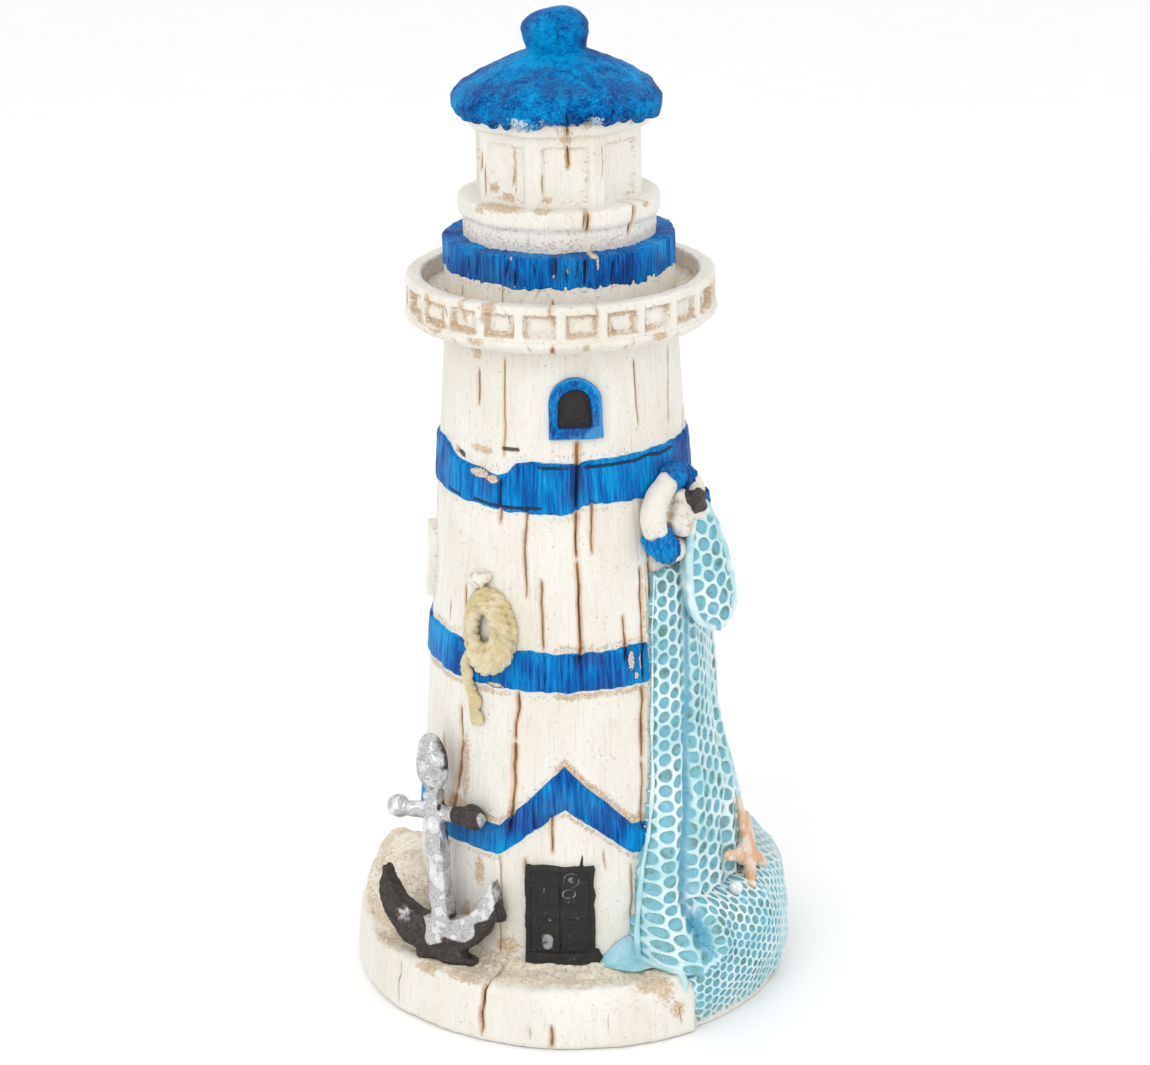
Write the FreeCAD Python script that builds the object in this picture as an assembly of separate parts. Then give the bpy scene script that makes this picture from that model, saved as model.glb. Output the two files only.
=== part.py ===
"""A souvenir lighthouse figure of cast resin, built as a stack of turned tiers with its trims fixed on.

Row frame, in millimetres: +Z up, the door faces -Y, and the origin is the middle of the face it stands on.
An azimuth is in degrees about the tower's axis, 0 at the door (-Y) and growing towards +X.
"""

import math
import os

import FreeCAD
import Part
from FreeCAD import Placement, Rotation, Vector

UP = Vector(0, 0, 1)
AXIS_FOOT = Vector(0, 0, 0)
FULL_TURN = 360.0

# ---- fits
glue_gap = 0.05  # between a trim and what it is glued to
spigot_clearance = 0.1  # radial, between a spigot and its socket
spigot_end_gap = 0.2  # left under a spigot's end for glue

# ---- base
pad_thickness = 0.8
pad_inset = 1.5
base_radius = 36.8
base_thickness = 9.5
base_top_round = 1.2
base_foot_round = 1.6

# ---- tower
tower_height = 104.7
tower_foot_radius = 26.4
tower_top_radius = 18.9
tower_tenon_radius = 14.0
tower_tenon_length = 5.0

# ---- gallery
gallery_overhang = 6.7  # beyond the tower's top
deck_lip_thickness = 2.2
deck_floor_height = 5.3  # of the trough's floor, above the tower's top
parapet_height = 5.9
parapet_thickness = 2.7
parapet_setback = 0.3  # from the deck lip's edge
panel_count = 24
panel_rib_width = 1.5
panel_depth = 0.8
panel_border = 0.9
trough_width = 3.9

# ---- plinth, collar, sill
plinth_height = 4.0
collar_height = 5.1
collar_ledge = 3.0  # of the collar's top, outside the sill ring
sill_ring_height = 3.8
sill_flange_height = 2.8
sill_flange_overhang = 0.65
tier_spigot_radius = 6.0
roof_spigot_height = 1.5
tier_spigot_length = 2.0

# ---- lantern room
lantern_sides = 8
lantern_turn = 5.0  # azimuth that its first flat faces
lantern_height = 11.4
lantern_ledge = 2.4  # of the sill flange, outside the lantern's corners
lantern_post_width = 3.2
lantern_pane_depth = 0.5
lantern_rail_low = 0.5
lantern_rail_high = 1.8

# ---- cornice, roof, knob
cornice_height = 2.2
cornice_overhang = 0.65
cornice_flare = 0.35
roof_height = 9.2
roof_overhang = 2.15
roof_brim_height = 2.2
roof_crown_radius = 5.0
roof_bulge = 0.9
knob_radius = 5.55
knob_height = 6.6
knob_neck_radius = 4.7
knob_peg_radius = 1.6
knob_peg_length = 4.0

# ---- painted bands
band_proud = 0.5
upper_band_drop = 18.6  # from the tower's top down to the band's top edge
upper_band_width = 8.2
middle_band_width = 6.6
gable_band_foot = 18.2  # above the base's top
gable_band_width = 5.4
gable_rise = 9.7
gable_half_width = 11.4
gable_azimuth = -1.5

# ---- windows
window_proud = 1.0
pane_proud = 0.45
window_border = 2.0
front_window_width = 8.4
front_window_height = 9.7
front_window_drop = 5.1  # from the tower's top down to the arch's crown
front_window_azimuth = 5.7
side_window_width = 9.0
side_window_height = 12.0
side_window_azimuth = -90.0
side_window_gap = 8.2  # below the upper band
side_window_proud = 1.5

# ---- door
door_width = 11.3
door_height = 16.0
door_azimuth = -3.9
door_border = 0.9
door_frame_proud = 0.8
door_leaf_proud = 0.45
door_leaf_gap = 0.35
door_step_height = 1.2
door_step_depth = 1.6

# ---- mound of sand beside the anchor
mound_azimuth = -93.0
mound_height = 10.5
mound_half_length = 17.0
mound_half_width = 10.0
mound_setback = 0.6  # from the base's rim

# ---- anchor
anchor_azimuth = -42.0
anchor_face_azimuth = -26.0
stock_stand_off = 2.7  # of the stock's middle, from the tower's bands
anchor_roll = 7.5
anchor_length = 38.0
anchor_thickness = 3.4
shank_width = 3.2
shank_top_width = 2.6
head_width = 5.6
head_length = 9.6
stock_height = 24.6
stock_half_length = 9.2
stock_tilt = -5.0
stock_radius = 1.35
stock_ball_radius = 2.1
arms_span = 20.0
arms_rise = 15.0
arms_right_share = 0.8  # of the right arm's rise against the left one's
arms_waist = 6.4
fluke_length = 6.2
fluke_width = 4.6

# ---- life ring, its wraps and the peg that holds the net
ring_azimuth = 54.0
ring_radius = 6.5
ring_tube_radius = 2.2
ring_below_band = 3.2  # of its middle, under the upper band's lower edge
ring_sunk = 1.5  # depth of the flat on the ring's back, where it lies on the tower
wrap_angles = (-8.0, 82.0, 222.0, 300.0)  # of their middles, from the ring's right side
wrap_angle = 50.0
wrap_thickness = 0.25
peg_radius = 1.1
peg_head_radius = 1.5
peg_head_length = 1.2
peg_depth = 5.0  # in the tower
peg_reach = 4.6  # from the tower's face to the head
peg_right = 1.2  # of the ring's middle
peg_up = 1.5  # above the ring's middle

# ---- net
net_start = 36.0
net_end = 118.0
net_gap = 0.15
net_thickness_top = 0.9
net_below_ring = 9.6  # of its top edge, under the ring's middle
net_flare = ((0.0, 0.0), (0.14, 0.2), (0.29, 0.48), (0.38, 0.72), (0.5, 0.95), (1.0, 1.0))
pile_height = 8.8  # above the base's top
pile_shoulder = 0.42  # of the way from the tower's foot to the base's rim
pile_overhang = 1.7
pile_foot_lift = 0.9
pile_start = 29.0
pile_bulge = 0.7
knot_width = 2.6
flap_length = 19.0
flap_top_width = 3.4
flap_width = 8.2
flap_thickness = 2.4
flap_azimuth = 64.0
flap_out = 2.2  # of its top, from the tower's face
flap_lean = 8.0
hem_gap = 0.4  # from the door's frame
hem_height = 4.2
hem_reach = 0.55  # of the way from the tower's foot to the base's rim

# ---- rope coil
coil_azimuth = -33.0
coil_above_band = 5.4  # of its middle, over the middle band's middle
coil_width = 10.8
coil_height = 16.0
coil_turns = 2
rope_radius = 1.05
tail_length = 13.0
tail_shift = 2.6
rope_peg_radius = 1.3
rope_peg_turn = -6.0  # from the coil's azimuth
rope_peg_reach = 2.2
rope_peg_depth = 2.0

# ---- starfish and pearl
star_arm_length = 9.0
star_arm_count = 5
star_arm_root = 1.7
star_arm_tip = 0.7
star_azimuth = 72.0
star_lift = 2.6  # of its middle, above the pile's top edge
pearl_radius = 1.2
pearl_azimuth = 57.0
pearl_drop = 1.5  # below the pile's top edge, along the net

# ---- heights that follow from the sizes above
base_top = pad_thickness + base_thickness
tower_top = base_top + tower_height
deck_floor = tower_top + deck_floor_height
plinth_top = deck_floor + plinth_height
collar_top = plinth_top + collar_height
sill_top = collar_top + sill_ring_height + sill_flange_height
lantern_top = sill_top + lantern_height
cornice_top = lantern_top + cornice_height
roof_top = cornice_top + roof_height
upper_band_top = tower_top - upper_band_drop
upper_band_foot = upper_band_top - upper_band_width
gable_band_bottom = base_top + gable_band_foot
gable_band_top = gable_band_bottom + gable_band_width
middle_band_middle = (gable_band_top + upper_band_foot) / 2
ring_middle = upper_band_foot - ring_below_band
net_top = ring_middle - net_below_ring
pile_top = base_top + pile_height
coil_middle = middle_band_middle + coil_above_band
door_foot = base_top + door_step_height

# ---- radii that follow from the sizes above
gallery_radius = tower_top_radius + gallery_overhang
parapet_radius = gallery_radius - parapet_setback
trough_radius = parapet_radius - parapet_thickness
plinth_radius = trough_radius - trough_width
sill_radius = plinth_radius - collar_ledge
flange_radius = sill_radius + sill_flange_overhang
lantern_radius = flange_radius - lantern_ledge
cornice_radius = lantern_radius + cornice_overhang
roof_radius = cornice_radius + cornice_flare + roof_overhang
tower_slope = math.degrees(math.atan((tower_foot_radius - tower_top_radius) / tower_height))
rim_width = base_radius - tower_foot_radius
knot_radius = ring_radius - ring_tube_radius - wrap_thickness - net_gap - math.hypot(peg_right, peg_up)
hem_start = door_azimuth + math.degrees(math.asin((door_width / 2 + hem_gap) / tower_foot_radius))


# ---- helpers
def tower_radius(z):
    """Radius of the tower's face at a height."""
    share = (z - base_top) / tower_height
    return tower_foot_radius + share * (tower_top_radius - tower_foot_radius)


def on_rim(share):
    """Radius part of the way from the tower's foot to the base's rim."""
    return tower_foot_radius + share * rim_width


def point_at(azimuth, radius, z):
    a = math.radians(azimuth)
    return Vector(radius * math.sin(a), -radius * math.cos(a), z)


def tower_cone(extra, z_low, z_high):
    """The tower's cone, grown by extra, between two heights."""
    low = tower_radius(z_low) + extra
    high = tower_radius(z_high) + extra
    return Part.makeCone(low, high, z_high - z_low, Vector(0, 0, z_low))


def tower_shell(proud, z_low, z_high):
    """A skin on the tower, from the glue gap out to proud."""
    return tower_cone(proud, z_low, z_high).cut(tower_cone(glue_gap, z_low - 1, z_high + 1))


def turned(profile, azimuth_from=0.0, sweep=FULL_TURN):
    """A closed profile of (radius, z) points, turned about the axis. A triple marks an arc's middle point."""
    edges = []
    points = profile + [profile[0]]
    middle = None
    last = points[0]
    for point in points[1:]:
        if len(point) == 3:
            middle = point
            continue
        start, end = Vector(last[0], 0, last[1]), Vector(point[0], 0, point[1])
        if middle:
            edges.append(Part.Arc(start, Vector(middle[0], 0, middle[1]), end).toShape())
        else:
            edges.append(Part.LineSegment(start, end).toShape())
        middle = None
        last = point
    solid = Part.Face(Part.Wire(edges)).revolve(AXIS_FOOT, UP, sweep)
    solid.rotate(AXIS_FOOT, UP, azimuth_from - 90.0)
    return solid if solid.Volume > 0 else solid.reversed()


def disc(radius, z_low, z_high):
    return Part.makeCylinder(radius, z_high - z_low, Vector(0, 0, z_low))


def outline(points):
    """A flat face from points, closed with straight edges."""
    return Part.Face(Part.makePolygon([Vector(x, y, 0) for x, y in points + points[:1]]))


def arched(width, height):
    """A flat face with a straight foot at y = 0 and a round arch on top."""
    half = width / 2
    spring = height - half
    left, right = Vector(-half, spring, 0), Vector(half, spring, 0)
    foot_left, foot_right = Vector(-half, 0, 0), Vector(half, 0, 0)
    edges = [
        Part.LineSegment(foot_left, foot_right).toShape(),
        Part.LineSegment(foot_right, right).toShape(),
        Part.Arc(right, Vector(0, height, 0), left).toShape(),
        Part.LineSegment(left, foot_left).toShape(),
    ]
    return Part.Face(Part.Wire(edges))


def facing(azimuth, lift=0.0):
    """Turns x right, y up, z outwards into a place on the axis that looks along an azimuth."""
    turn = Rotation(UP, azimuth).multiply(Rotation(Vector(1, 0, 0), 90))
    return Placement(Vector(0, 0, lift), turn)


def on_tower(azimuth, z, out, lean=0.0, roll=0.0):
    """The same, standing out of the tower's face and square to it."""
    turn = Rotation(UP, azimuth).multiply(Rotation(Vector(1, 0, 0), 90 - tower_slope - lean))
    turn = turn.multiply(Rotation(Vector(0, 0, 1), roll))
    return Placement(point_at(azimuth, tower_radius(z) + out, z), turn)


def placed(shape, placement):
    copy = shape.copy()
    copy.Placement = placement.multiply(copy.Placement)
    return copy


def radial_prism(face, azimuth, lift):
    """A flat face pushed out from the tower's axis well past its face."""
    return placed(face.extrude(Vector(0, 0, 2 * tower_foot_radius)), facing(azimuth, lift))


def with_spigot(shape, z, radius=tier_spigot_radius, length=tier_spigot_length):
    """Adds the round boss that seats a tier in the one below."""
    return shape.fuse(disc(radius, z - length, z)).removeSplitter()


def with_socket(shape, z, radius=tier_spigot_radius, length=tier_spigot_length):
    """Cuts the blind socket for the boss of the tier above."""
    return shape.cut(disc(radius + spigot_clearance, z - length - spigot_end_gap, z))


def grouped(solids):
    return Part.makeCompound(solids)


# ---- base
def base_pad():
    return disc(base_radius - pad_inset, 0, pad_thickness)


def base():
    low, high = pad_thickness, base_top
    foot, top = base_foot_round, base_top_round
    corner = 1 - math.sqrt(0.5)
    profile = [
        (0, low),
        (base_radius - foot, low),
        (base_radius - foot * corner, low + foot * corner, 0),
        (base_radius, low + foot),
        (base_radius, high - top),
        (base_radius - top * corner, high - top * corner, 0),
        (base_radius - top, high),
        (0, high),
    ]
    return with_socket(turned(profile), base_top, tower_tenon_radius, tower_tenon_length)


def sand_mound():
    """A bank of sand heaped against the tower and out to the base's rim."""
    heap = Part.makeSphere(1.0)
    stretch = FreeCAD.Matrix()
    stretch.scale(Vector(mound_half_length, mound_half_width, mound_height))
    heap = heap.transformGeometry(stretch)
    heap.Placement = Placement(point_at(mound_azimuth, on_rim(0.1), base_top), Rotation(UP, mound_azimuth))
    low = base_top + glue_gap
    heap = heap.common(disc(base_radius - mound_setback, low, low + mound_height))
    return heap.cut(tower_cone(glue_gap, base_top, tower_top))


# ---- tower
def tower():
    body = with_spigot(tower_cone(0, base_top, tower_top), base_top, tower_tenon_radius, tower_tenon_length)
    body = with_socket(body, tower_top)
    bores = [
        (net_peg_place(), peg_radius, peg_depth),
        (rope_peg_place(), rope_peg_radius, rope_peg_depth),
    ]
    for place, radius, depth in bores:
        deep = depth + spigot_end_gap
        bore = Part.makeCylinder(radius + glue_gap, 2 * deep, Vector(0, 0, -deep))
        body = body.cut(placed(bore, place))
    return body


def upper_band():
    return tower_shell(band_proud, upper_band_foot, upper_band_top)


def away_from_net(band):
    """Leaves out the stretch of a band that the net covers."""
    reach = 2 * tower_foot_radius
    gap = 1.0
    wedge = turned(
        [(1, base_top), (reach, base_top), (reach, tower_top), (1, tower_top)],
        net_start - gap,
        net_end - net_start + 2 * gap,
    )
    return band.cut(wedge)


def middle_band():
    half = middle_band_width / 2
    return away_from_net(tower_shell(band_proud, middle_band_middle - half, middle_band_middle + half))


def gable_band():
    """A hoop that rises to a gable over the door."""
    low, high = gable_band_bottom, gable_band_top
    half, rise, width = gable_half_width, gable_rise, gable_band_width
    ring = tower_shell(band_proud, low, high)
    reach = tower_foot_radius
    window = outline([(-half, -reach), (half, -reach), (half, reach), (-half, reach)])
    ring = ring.cut(radial_prism(window, gable_azimuth, low))
    peak = rise + width * 1.25
    chevron = outline([(-half, 0), (0, rise), (half, 0), (half, width), (0, peak), (-half, width)])
    gable = radial_prism(chevron, gable_azimuth, low)
    gable = gable.common(tower_shell(band_proud, base_top, high + 2 * rise))
    return away_from_net(ring.fuse(gable).removeSplitter())


# ---- gallery
def gallery_deck():
    profile = [
        (0, tower_top),
        (gallery_radius, tower_top),
        (gallery_radius, tower_top + deck_lip_thickness),
        (trough_radius - glue_gap, tower_top + deck_lip_thickness),
        (trough_radius - glue_gap, deck_floor),
        (0, deck_floor),
    ]
    return with_socket(with_spigot(turned(profile), tower_top), deck_floor)


def gallery_parapet():
    """A ring of sunk panels under a plain rim."""
    low = tower_top + deck_lip_thickness
    high = low + parapet_height
    inner, outer = trough_radius, parapet_radius
    ring = turned([(inner, low), (outer, low), (outer, high), (inner, high)])
    pitch = FULL_TURN / panel_count
    rib = math.degrees(panel_rib_width / parapet_radius)
    sunk = parapet_radius - panel_depth
    reach = parapet_radius + 1
    panel = [
        (sunk, low + panel_border / 2),
        (reach, low + panel_border / 2),
        (reach, high - panel_border),
        (sunk, high - panel_border),
    ]
    cutters = [turned(panel, index * pitch + rib / 2, pitch - rib) for index in range(panel_count)]
    return ring.cut(cutters)


# ---- lantern stack
def lantern_plinth():
    body = with_spigot(disc(plinth_radius, deck_floor, plinth_top), deck_floor)
    return with_socket(body, plinth_top)


def collar_ring():
    body = with_spigot(disc(plinth_radius, plinth_top, collar_top), plinth_top)
    return with_socket(body, collar_top)


def lantern_sill():
    step = collar_top + sill_ring_height
    profile = [
        (0, collar_top),
        (sill_radius, collar_top),
        (sill_radius, step),
        (flange_radius, step),
        (flange_radius, sill_top),
        (0, sill_top),
    ]
    return with_socket(with_spigot(turned(profile), collar_top), sill_top)


def lantern_room():
    """An eight-sided room, with a sunk pane in each side."""
    pitch = FULL_TURN / lantern_sides
    azimuths = [lantern_turn + (k + 0.5) * pitch for k in range(lantern_sides)]
    corners = [point_at(azimuth, lantern_radius, sill_top) for azimuth in azimuths]
    room = Part.Face(Part.makePolygon(corners + corners[:1])).extrude(Vector(0, 0, lantern_height))
    flat = lantern_radius * math.cos(math.radians(pitch / 2))
    side = 2 * lantern_radius * math.sin(math.radians(pitch / 2))
    half = (side - lantern_post_width) / 2
    foot, head = lantern_rail_low, lantern_height - lantern_rail_high
    pane = outline([(-half, foot), (half, foot), (half, head), (-half, head)])
    pane = pane.extrude(Vector(0, 0, 2 * lantern_pane_depth))
    pane.translate(Vector(0, 0, flat - lantern_pane_depth))
    cutters = [placed(pane, facing(lantern_turn + k * pitch, sill_top)) for k in range(lantern_sides)]
    room = with_spigot(room.cut(cutters), sill_top)
    return with_socket(room, lantern_top)


def cornice_ring():
    profile = [
        (0, lantern_top),
        (cornice_radius, lantern_top),
        (cornice_radius + cornice_flare, cornice_top),
        (0, cornice_top),
    ]
    roof_spigot = disc(tier_spigot_radius, cornice_top, cornice_top + roof_spigot_height)
    return with_spigot(turned(profile), lantern_top).fuse(roof_spigot)


def roof():
    """A low bell of a roof with a thick rounded brim."""
    brim = cornice_top + roof_brim_height
    profile = [
        (0, cornice_top),
        (roof_radius - 0.8, cornice_top),
        (roof_radius, cornice_top + 0.45 * roof_brim_height, 0),
        (roof_radius - 0.5, brim),
        ((roof_radius + roof_crown_radius) / 2, (brim + roof_top) / 2 + roof_bulge, 0),
        (roof_crown_radius, roof_top),
        (0, roof_top),
    ]
    body = turned(profile)
    socket_top = cornice_top + roof_spigot_height + spigot_end_gap
    body = body.cut(disc(tier_spigot_radius + spigot_clearance, cornice_top, socket_top))
    return with_socket(body, roof_top, knob_peg_radius, knob_peg_length)


def roof_knob():
    """A flattened ball on a short neck, with a small flat on top and a peg under it."""
    middle = roof_top + knob_height * 0.42
    profile = [
        (0, roof_top),
        (knob_neck_radius, roof_top),
        (knob_radius, middle, 0),
        (knob_radius * 0.72, roof_top + knob_height * 0.88),
        (knob_radius * 0.5, roof_top + knob_height * 0.97, 0),
        (knob_radius * 0.25, roof_top + knob_height),
        (0, roof_top + knob_height),
    ]
    return with_spigot(turned(profile), roof_top, knob_peg_radius, knob_peg_length)


# ---- windows and door
def window_opening(width, height):
    return arched(width - 2 * window_border, height - 2 * window_border)


def window_frame(width, height, azimuth, foot, proud):
    plate = radial_prism(arched(width, height), azimuth, foot)
    plate = plate.cut(radial_prism(window_opening(width, height), azimuth, foot + window_border))
    return plate.common(tower_shell(proud, foot - 1, foot + height + 1))


def window_pane(width, height, azimuth, foot):
    inner = arched(width - 2 * window_border - 2 * glue_gap, height - 2 * window_border - 2 * glue_gap)
    plate = radial_prism(inner, azimuth, foot + window_border + glue_gap)
    return plate.common(tower_shell(pane_proud, foot - 1, foot + height + 1))


def front_window():
    foot = tower_top - front_window_drop - front_window_height
    return front_window_width, front_window_height, front_window_azimuth, foot


def side_window():
    foot = upper_band_foot - side_window_gap - side_window_height
    return side_window_width, side_window_height, side_window_azimuth, foot


def door_face(left, right, low, high):
    return outline([(left, low), (right, low), (right, high), (left, high)])


def door_frame():
    half = door_width / 2
    plate = radial_prism(door_face(-half, half, 0, door_height), door_azimuth, door_foot + glue_gap)
    hole = door_face(-half + door_border, half - door_border, -1, door_height - door_border)
    plate = plate.cut(radial_prism(hole, door_azimuth, door_foot + glue_gap))
    return plate.common(tower_shell(door_frame_proud, base_top, door_foot + door_height + 1))


def door_leaf(side):
    """One of the two leaves, with side -1 on the left and 1 on the right."""
    inner, outer = door_leaf_gap / 2, door_width / 2 - door_border - glue_gap
    left, right = sorted((side * inner, side * outer))
    face = door_face(left, right, glue_gap, door_height - door_border - glue_gap)
    leaf = radial_prism(face, door_azimuth, door_foot)
    return leaf.common(tower_shell(door_leaf_proud, base_top, door_foot + door_height))


def door_step():
    half = door_width / 2
    face = door_face(-half, half, glue_gap, door_step_height)
    step = radial_prism(face, door_azimuth, base_top)
    return step.common(tower_shell(door_step_depth, base_top, door_foot))


# ---- anchor
def anchor_place():
    """Crown on the base, leaning back towards the tower. Its own frame is x right, y up, z forwards."""
    foot = point_at(anchor_azimuth, on_rim(0.5), base_top + glue_gap + anchor_foot_lift())
    turn = Rotation(UP, anchor_face_azimuth).multiply(Rotation(Vector(1, 0, 0), 90 - anchor_lean_back()))
    return Placement(foot, turn.multiply(Rotation(Vector(0, 0, 1), anchor_roll)))


def anchor_lean_back():
    """Brings the stock in until it rests near the tower, however wide the base's rim is."""
    leeway = on_rim(0.5) - tower_radius(base_top + stock_height) - band_proud - stock_stand_off
    turn = math.radians(anchor_face_azimuth - anchor_azimuth)
    return math.degrees(math.asin(leeway / (stock_height * math.cos(turn))))


def anchor_foot_lift():
    """How far the leaning foot's back edge would sink without it."""
    return anchor_thickness / 2 * math.sin(math.radians(anchor_lean_back()))


def clear_of_tower(shape):
    trims = tower_cone(band_proud + glue_gap, base_top, tower_top)
    table = disc(2 * base_radius, -1, base_top + glue_gap)
    return shape.cut(trims).cut(table)


def crescent():
    """The arms as one curved bar, thick at the crown and pointed at the tips."""
    half, rise, waist = arms_span / 2, arms_rise, arms_waist
    left, right = Vector(-half, rise, 0), Vector(half, rise * arms_right_share, 0)
    outer = Part.Arc(left, Vector(0, 0, 0), right).toShape()
    inner = Part.Arc(right, Vector(0, waist, 0), left).toShape()
    return Part.Face(Part.Wire([outer, inner]))


def fluke(side):
    """The broad point at the end of one arm."""
    rise = arms_rise * (arms_right_share if side > 0 else 1)
    x, y = side * (arms_span / 2 - 1.2), rise * 0.62
    half = fluke_width / 2
    tip = (x + side * 1.4, y + fluke_length)
    return outline([(x - half, y), (x + half, y - 1.0), tip])


def anchor_arms():
    bar = crescent().extrude(Vector(0, 0, anchor_thickness))
    for side in (-1, 1):
        bar = bar.fuse(fluke(side).extrude(Vector(0, 0, anchor_thickness)))
    bar.translate(Vector(0, 0, -anchor_thickness / 2))
    return clear_of_tower(placed(bar.removeSplitter(), anchor_place()))


def anchor_shank():
    """The bar from the crown to the rounded head."""
    low, neck = arms_waist + glue_gap, anchor_length - head_length
    foot, top = shank_width / 2, shank_top_width / 2
    bar = outline([(-foot, low), (foot, low), (top, neck), (-top, neck)])
    bar = bar.extrude(Vector(0, 0, anchor_thickness))
    bar.translate(Vector(0, 0, -anchor_thickness / 2))
    head = Part.makeSphere(1.0)
    stretch = FreeCAD.Matrix()
    stretch.scale(Vector(head_width / 2, head_length / 2 + 0.4, anchor_thickness / 2 + 0.2))
    head = head.transformGeometry(stretch)
    head.translate(Vector(0, anchor_length - head_length / 2 - 0.4, 0))
    eye = stock_bar(stock_radius + glue_gap, 2 * shank_width)
    arms = crescent().extrude(Vector(0, 0, 2 * anchor_thickness))
    arms.translate(Vector(0, 0, -anchor_thickness))
    return clear_of_tower(placed(bar.fuse(head).removeSplitter().cut(eye).cut(arms), anchor_place()))


def stock_bar(radius, half):
    """The cross bar's round middle, a little off square to the shank."""
    bar = Part.makeCylinder(radius, 2 * half, Vector(-half, 0, 0), Vector(1, 0, 0))
    return placed(bar, stock_tilted())


def stock_tilted():
    return Placement(Vector(0, stock_height, 0), Rotation(UP, stock_tilt))


def anchor_stock():
    """The cross bar, with a ball on each end, passed through the shank."""
    half = stock_half_length - stock_ball_radius
    bar = stock_bar(stock_radius, half)
    for side in (-1, 1):
        bar = bar.fuse(placed(Part.makeSphere(stock_ball_radius, Vector(side * half, 0, 0)), stock_tilted()))
    return clear_of_tower(placed(bar.removeSplitter(), anchor_place()))


# ---- life ring
def ring_place():
    return on_tower(ring_azimuth, ring_middle, band_proud + ring_tube_radius - ring_sunk)


def off_tower(shape):
    """Flattens the back of a trim where it lies on the tower or its bands."""
    return shape.cut(tower_cone(band_proud + glue_gap, base_top, tower_top))


def life_ring():
    return off_tower(placed(Part.makeTorus(ring_radius, ring_tube_radius), ring_place()))


def life_ring_wraps():
    """Bands of cloth wound round the ring, each a sleeve on part of its length."""
    sleeves = []
    for middle in wrap_angles:
        outer = ring_tube_radius + wrap_thickness
        sleeve = Part.makeTorus(ring_radius, outer, AXIS_FOOT, UP, -180, 180, wrap_angle)
        sleeve = sleeve.cut(Part.makeTorus(ring_radius, ring_tube_radius + glue_gap / 2))
        sleeve.rotate(AXIS_FOOT, UP, middle - wrap_angle / 2)
        sleeves.append(off_tower(placed(sleeve, ring_place())))
    return grouped(sleeves)


def net_peg_place():
    """On the tower's face, inside the ring and square to its plane."""
    on_face = Vector(peg_right, peg_up, ring_sunk - ring_tube_radius)
    return ring_place().multiply(Placement(on_face, Rotation()))


def net_peg():
    """The nail that the net hangs from, driven in through the ring."""
    pin = Part.makeCylinder(peg_radius, peg_depth + peg_reach, Vector(0, 0, -peg_depth))
    head = Part.makeCone(peg_head_radius, peg_head_radius * 0.8, peg_head_length, Vector(0, 0, peg_reach))
    return placed(pin.fuse(head).removeSplitter(), net_peg_place())


# ---- net
def drape_height(share):
    return pile_top + share * (net_top - pile_top)


def drape_radius(share, flare):
    """Outer radius of the hanging net: flare 0 is the pile's shoulder, and 1 is close on the tower."""
    close = tower_radius(drape_height(share)) + net_thickness_top + net_gap
    return on_rim(pile_shoulder) * (1 - flare) + close * flare


def sector_wire(azimuth_from, azimuth_to, inner, outer, z):
    middle = (azimuth_from + azimuth_to) / 2
    inside = [point_at(a, inner, z) for a in (azimuth_from, middle, azimuth_to)]
    outside = [point_at(a, outer, z) for a in (azimuth_to, middle, azimuth_from)]
    edges = [
        Part.Arc(*inside).toShape(),
        Part.LineSegment(inside[-1], outside[0]).toShape(),
        Part.Arc(*outside).toShape(),
        Part.LineSegment(outside[-1], inside[0]).toShape(),
    ]
    return Part.Wire(edges)


def net_drape():
    """The net where it hangs down the tower, flaring out towards its foot."""
    wires = []
    for share, flare in net_flare:
        z = drape_height(share)
        inner = tower_radius(z) + net_gap
        wires.append(sector_wire(net_start, net_end, inner, drape_radius(share, flare), z))
    return Part.makeLoft(wires, True, True)


def net_pile():
    """The net heaped on the base and hanging over its rim."""
    low = pad_thickness + pile_foot_lift
    high = pile_top - glue_gap
    shoulder = on_rim(pile_shoulder)
    rim = base_radius + pile_overhang
    inner = tower_radius(pile_top) - 1
    profile = [
        (inner, base_top + net_gap),
        (base_radius + net_gap, base_top + net_gap),
        (base_radius + net_gap, low),
        (rim - 0.8, low),
        (rim, base_top - 2.0, 0),
        (rim - 0.6, base_top + 1.0),
        ((rim - 0.6 + shoulder) / 2 + pile_bulge, (base_top + 1.0 + high) / 2 + pile_bulge, 0),
        (shoulder, high),
        (inner, high),
    ]
    heap = turned(profile, pile_start, net_end - pile_start)
    return heap.cut(tower_cone(net_gap, base_top, tower_top))


def net_knot():
    """The gathered top of the net, tied on the peg behind its head."""
    near = peg_reach - glue_gap - knot_width
    knot = Part.makeCylinder(knot_radius, knot_width, Vector(0, 0, near))
    knot = knot.cut(Part.makeCylinder(peg_radius + glue_gap, knot_width, Vector(0, 0, near)))
    return placed(knot, net_peg_place())


def flap_face():
    """A tongue of net, narrow at the top and round at the foot."""
    top, foot = flap_top_width / 2, flap_width / 2
    bend = -(flap_length - foot)
    edges = [
        Part.LineSegment(Vector(top, 0, 0), Vector(-top, 0, 0)).toShape(),
        Part.LineSegment(Vector(-top, 0, 0), Vector(-foot, bend, 0)).toShape(),
        Part.Arc(Vector(-foot, bend, 0), Vector(0, -flap_length, 0), Vector(foot, bend, 0)).toShape(),
        Part.LineSegment(Vector(foot, bend, 0), Vector(top, 0, 0)).toShape(),
    ]
    return Part.Face(Part.Wire(edges))


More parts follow.
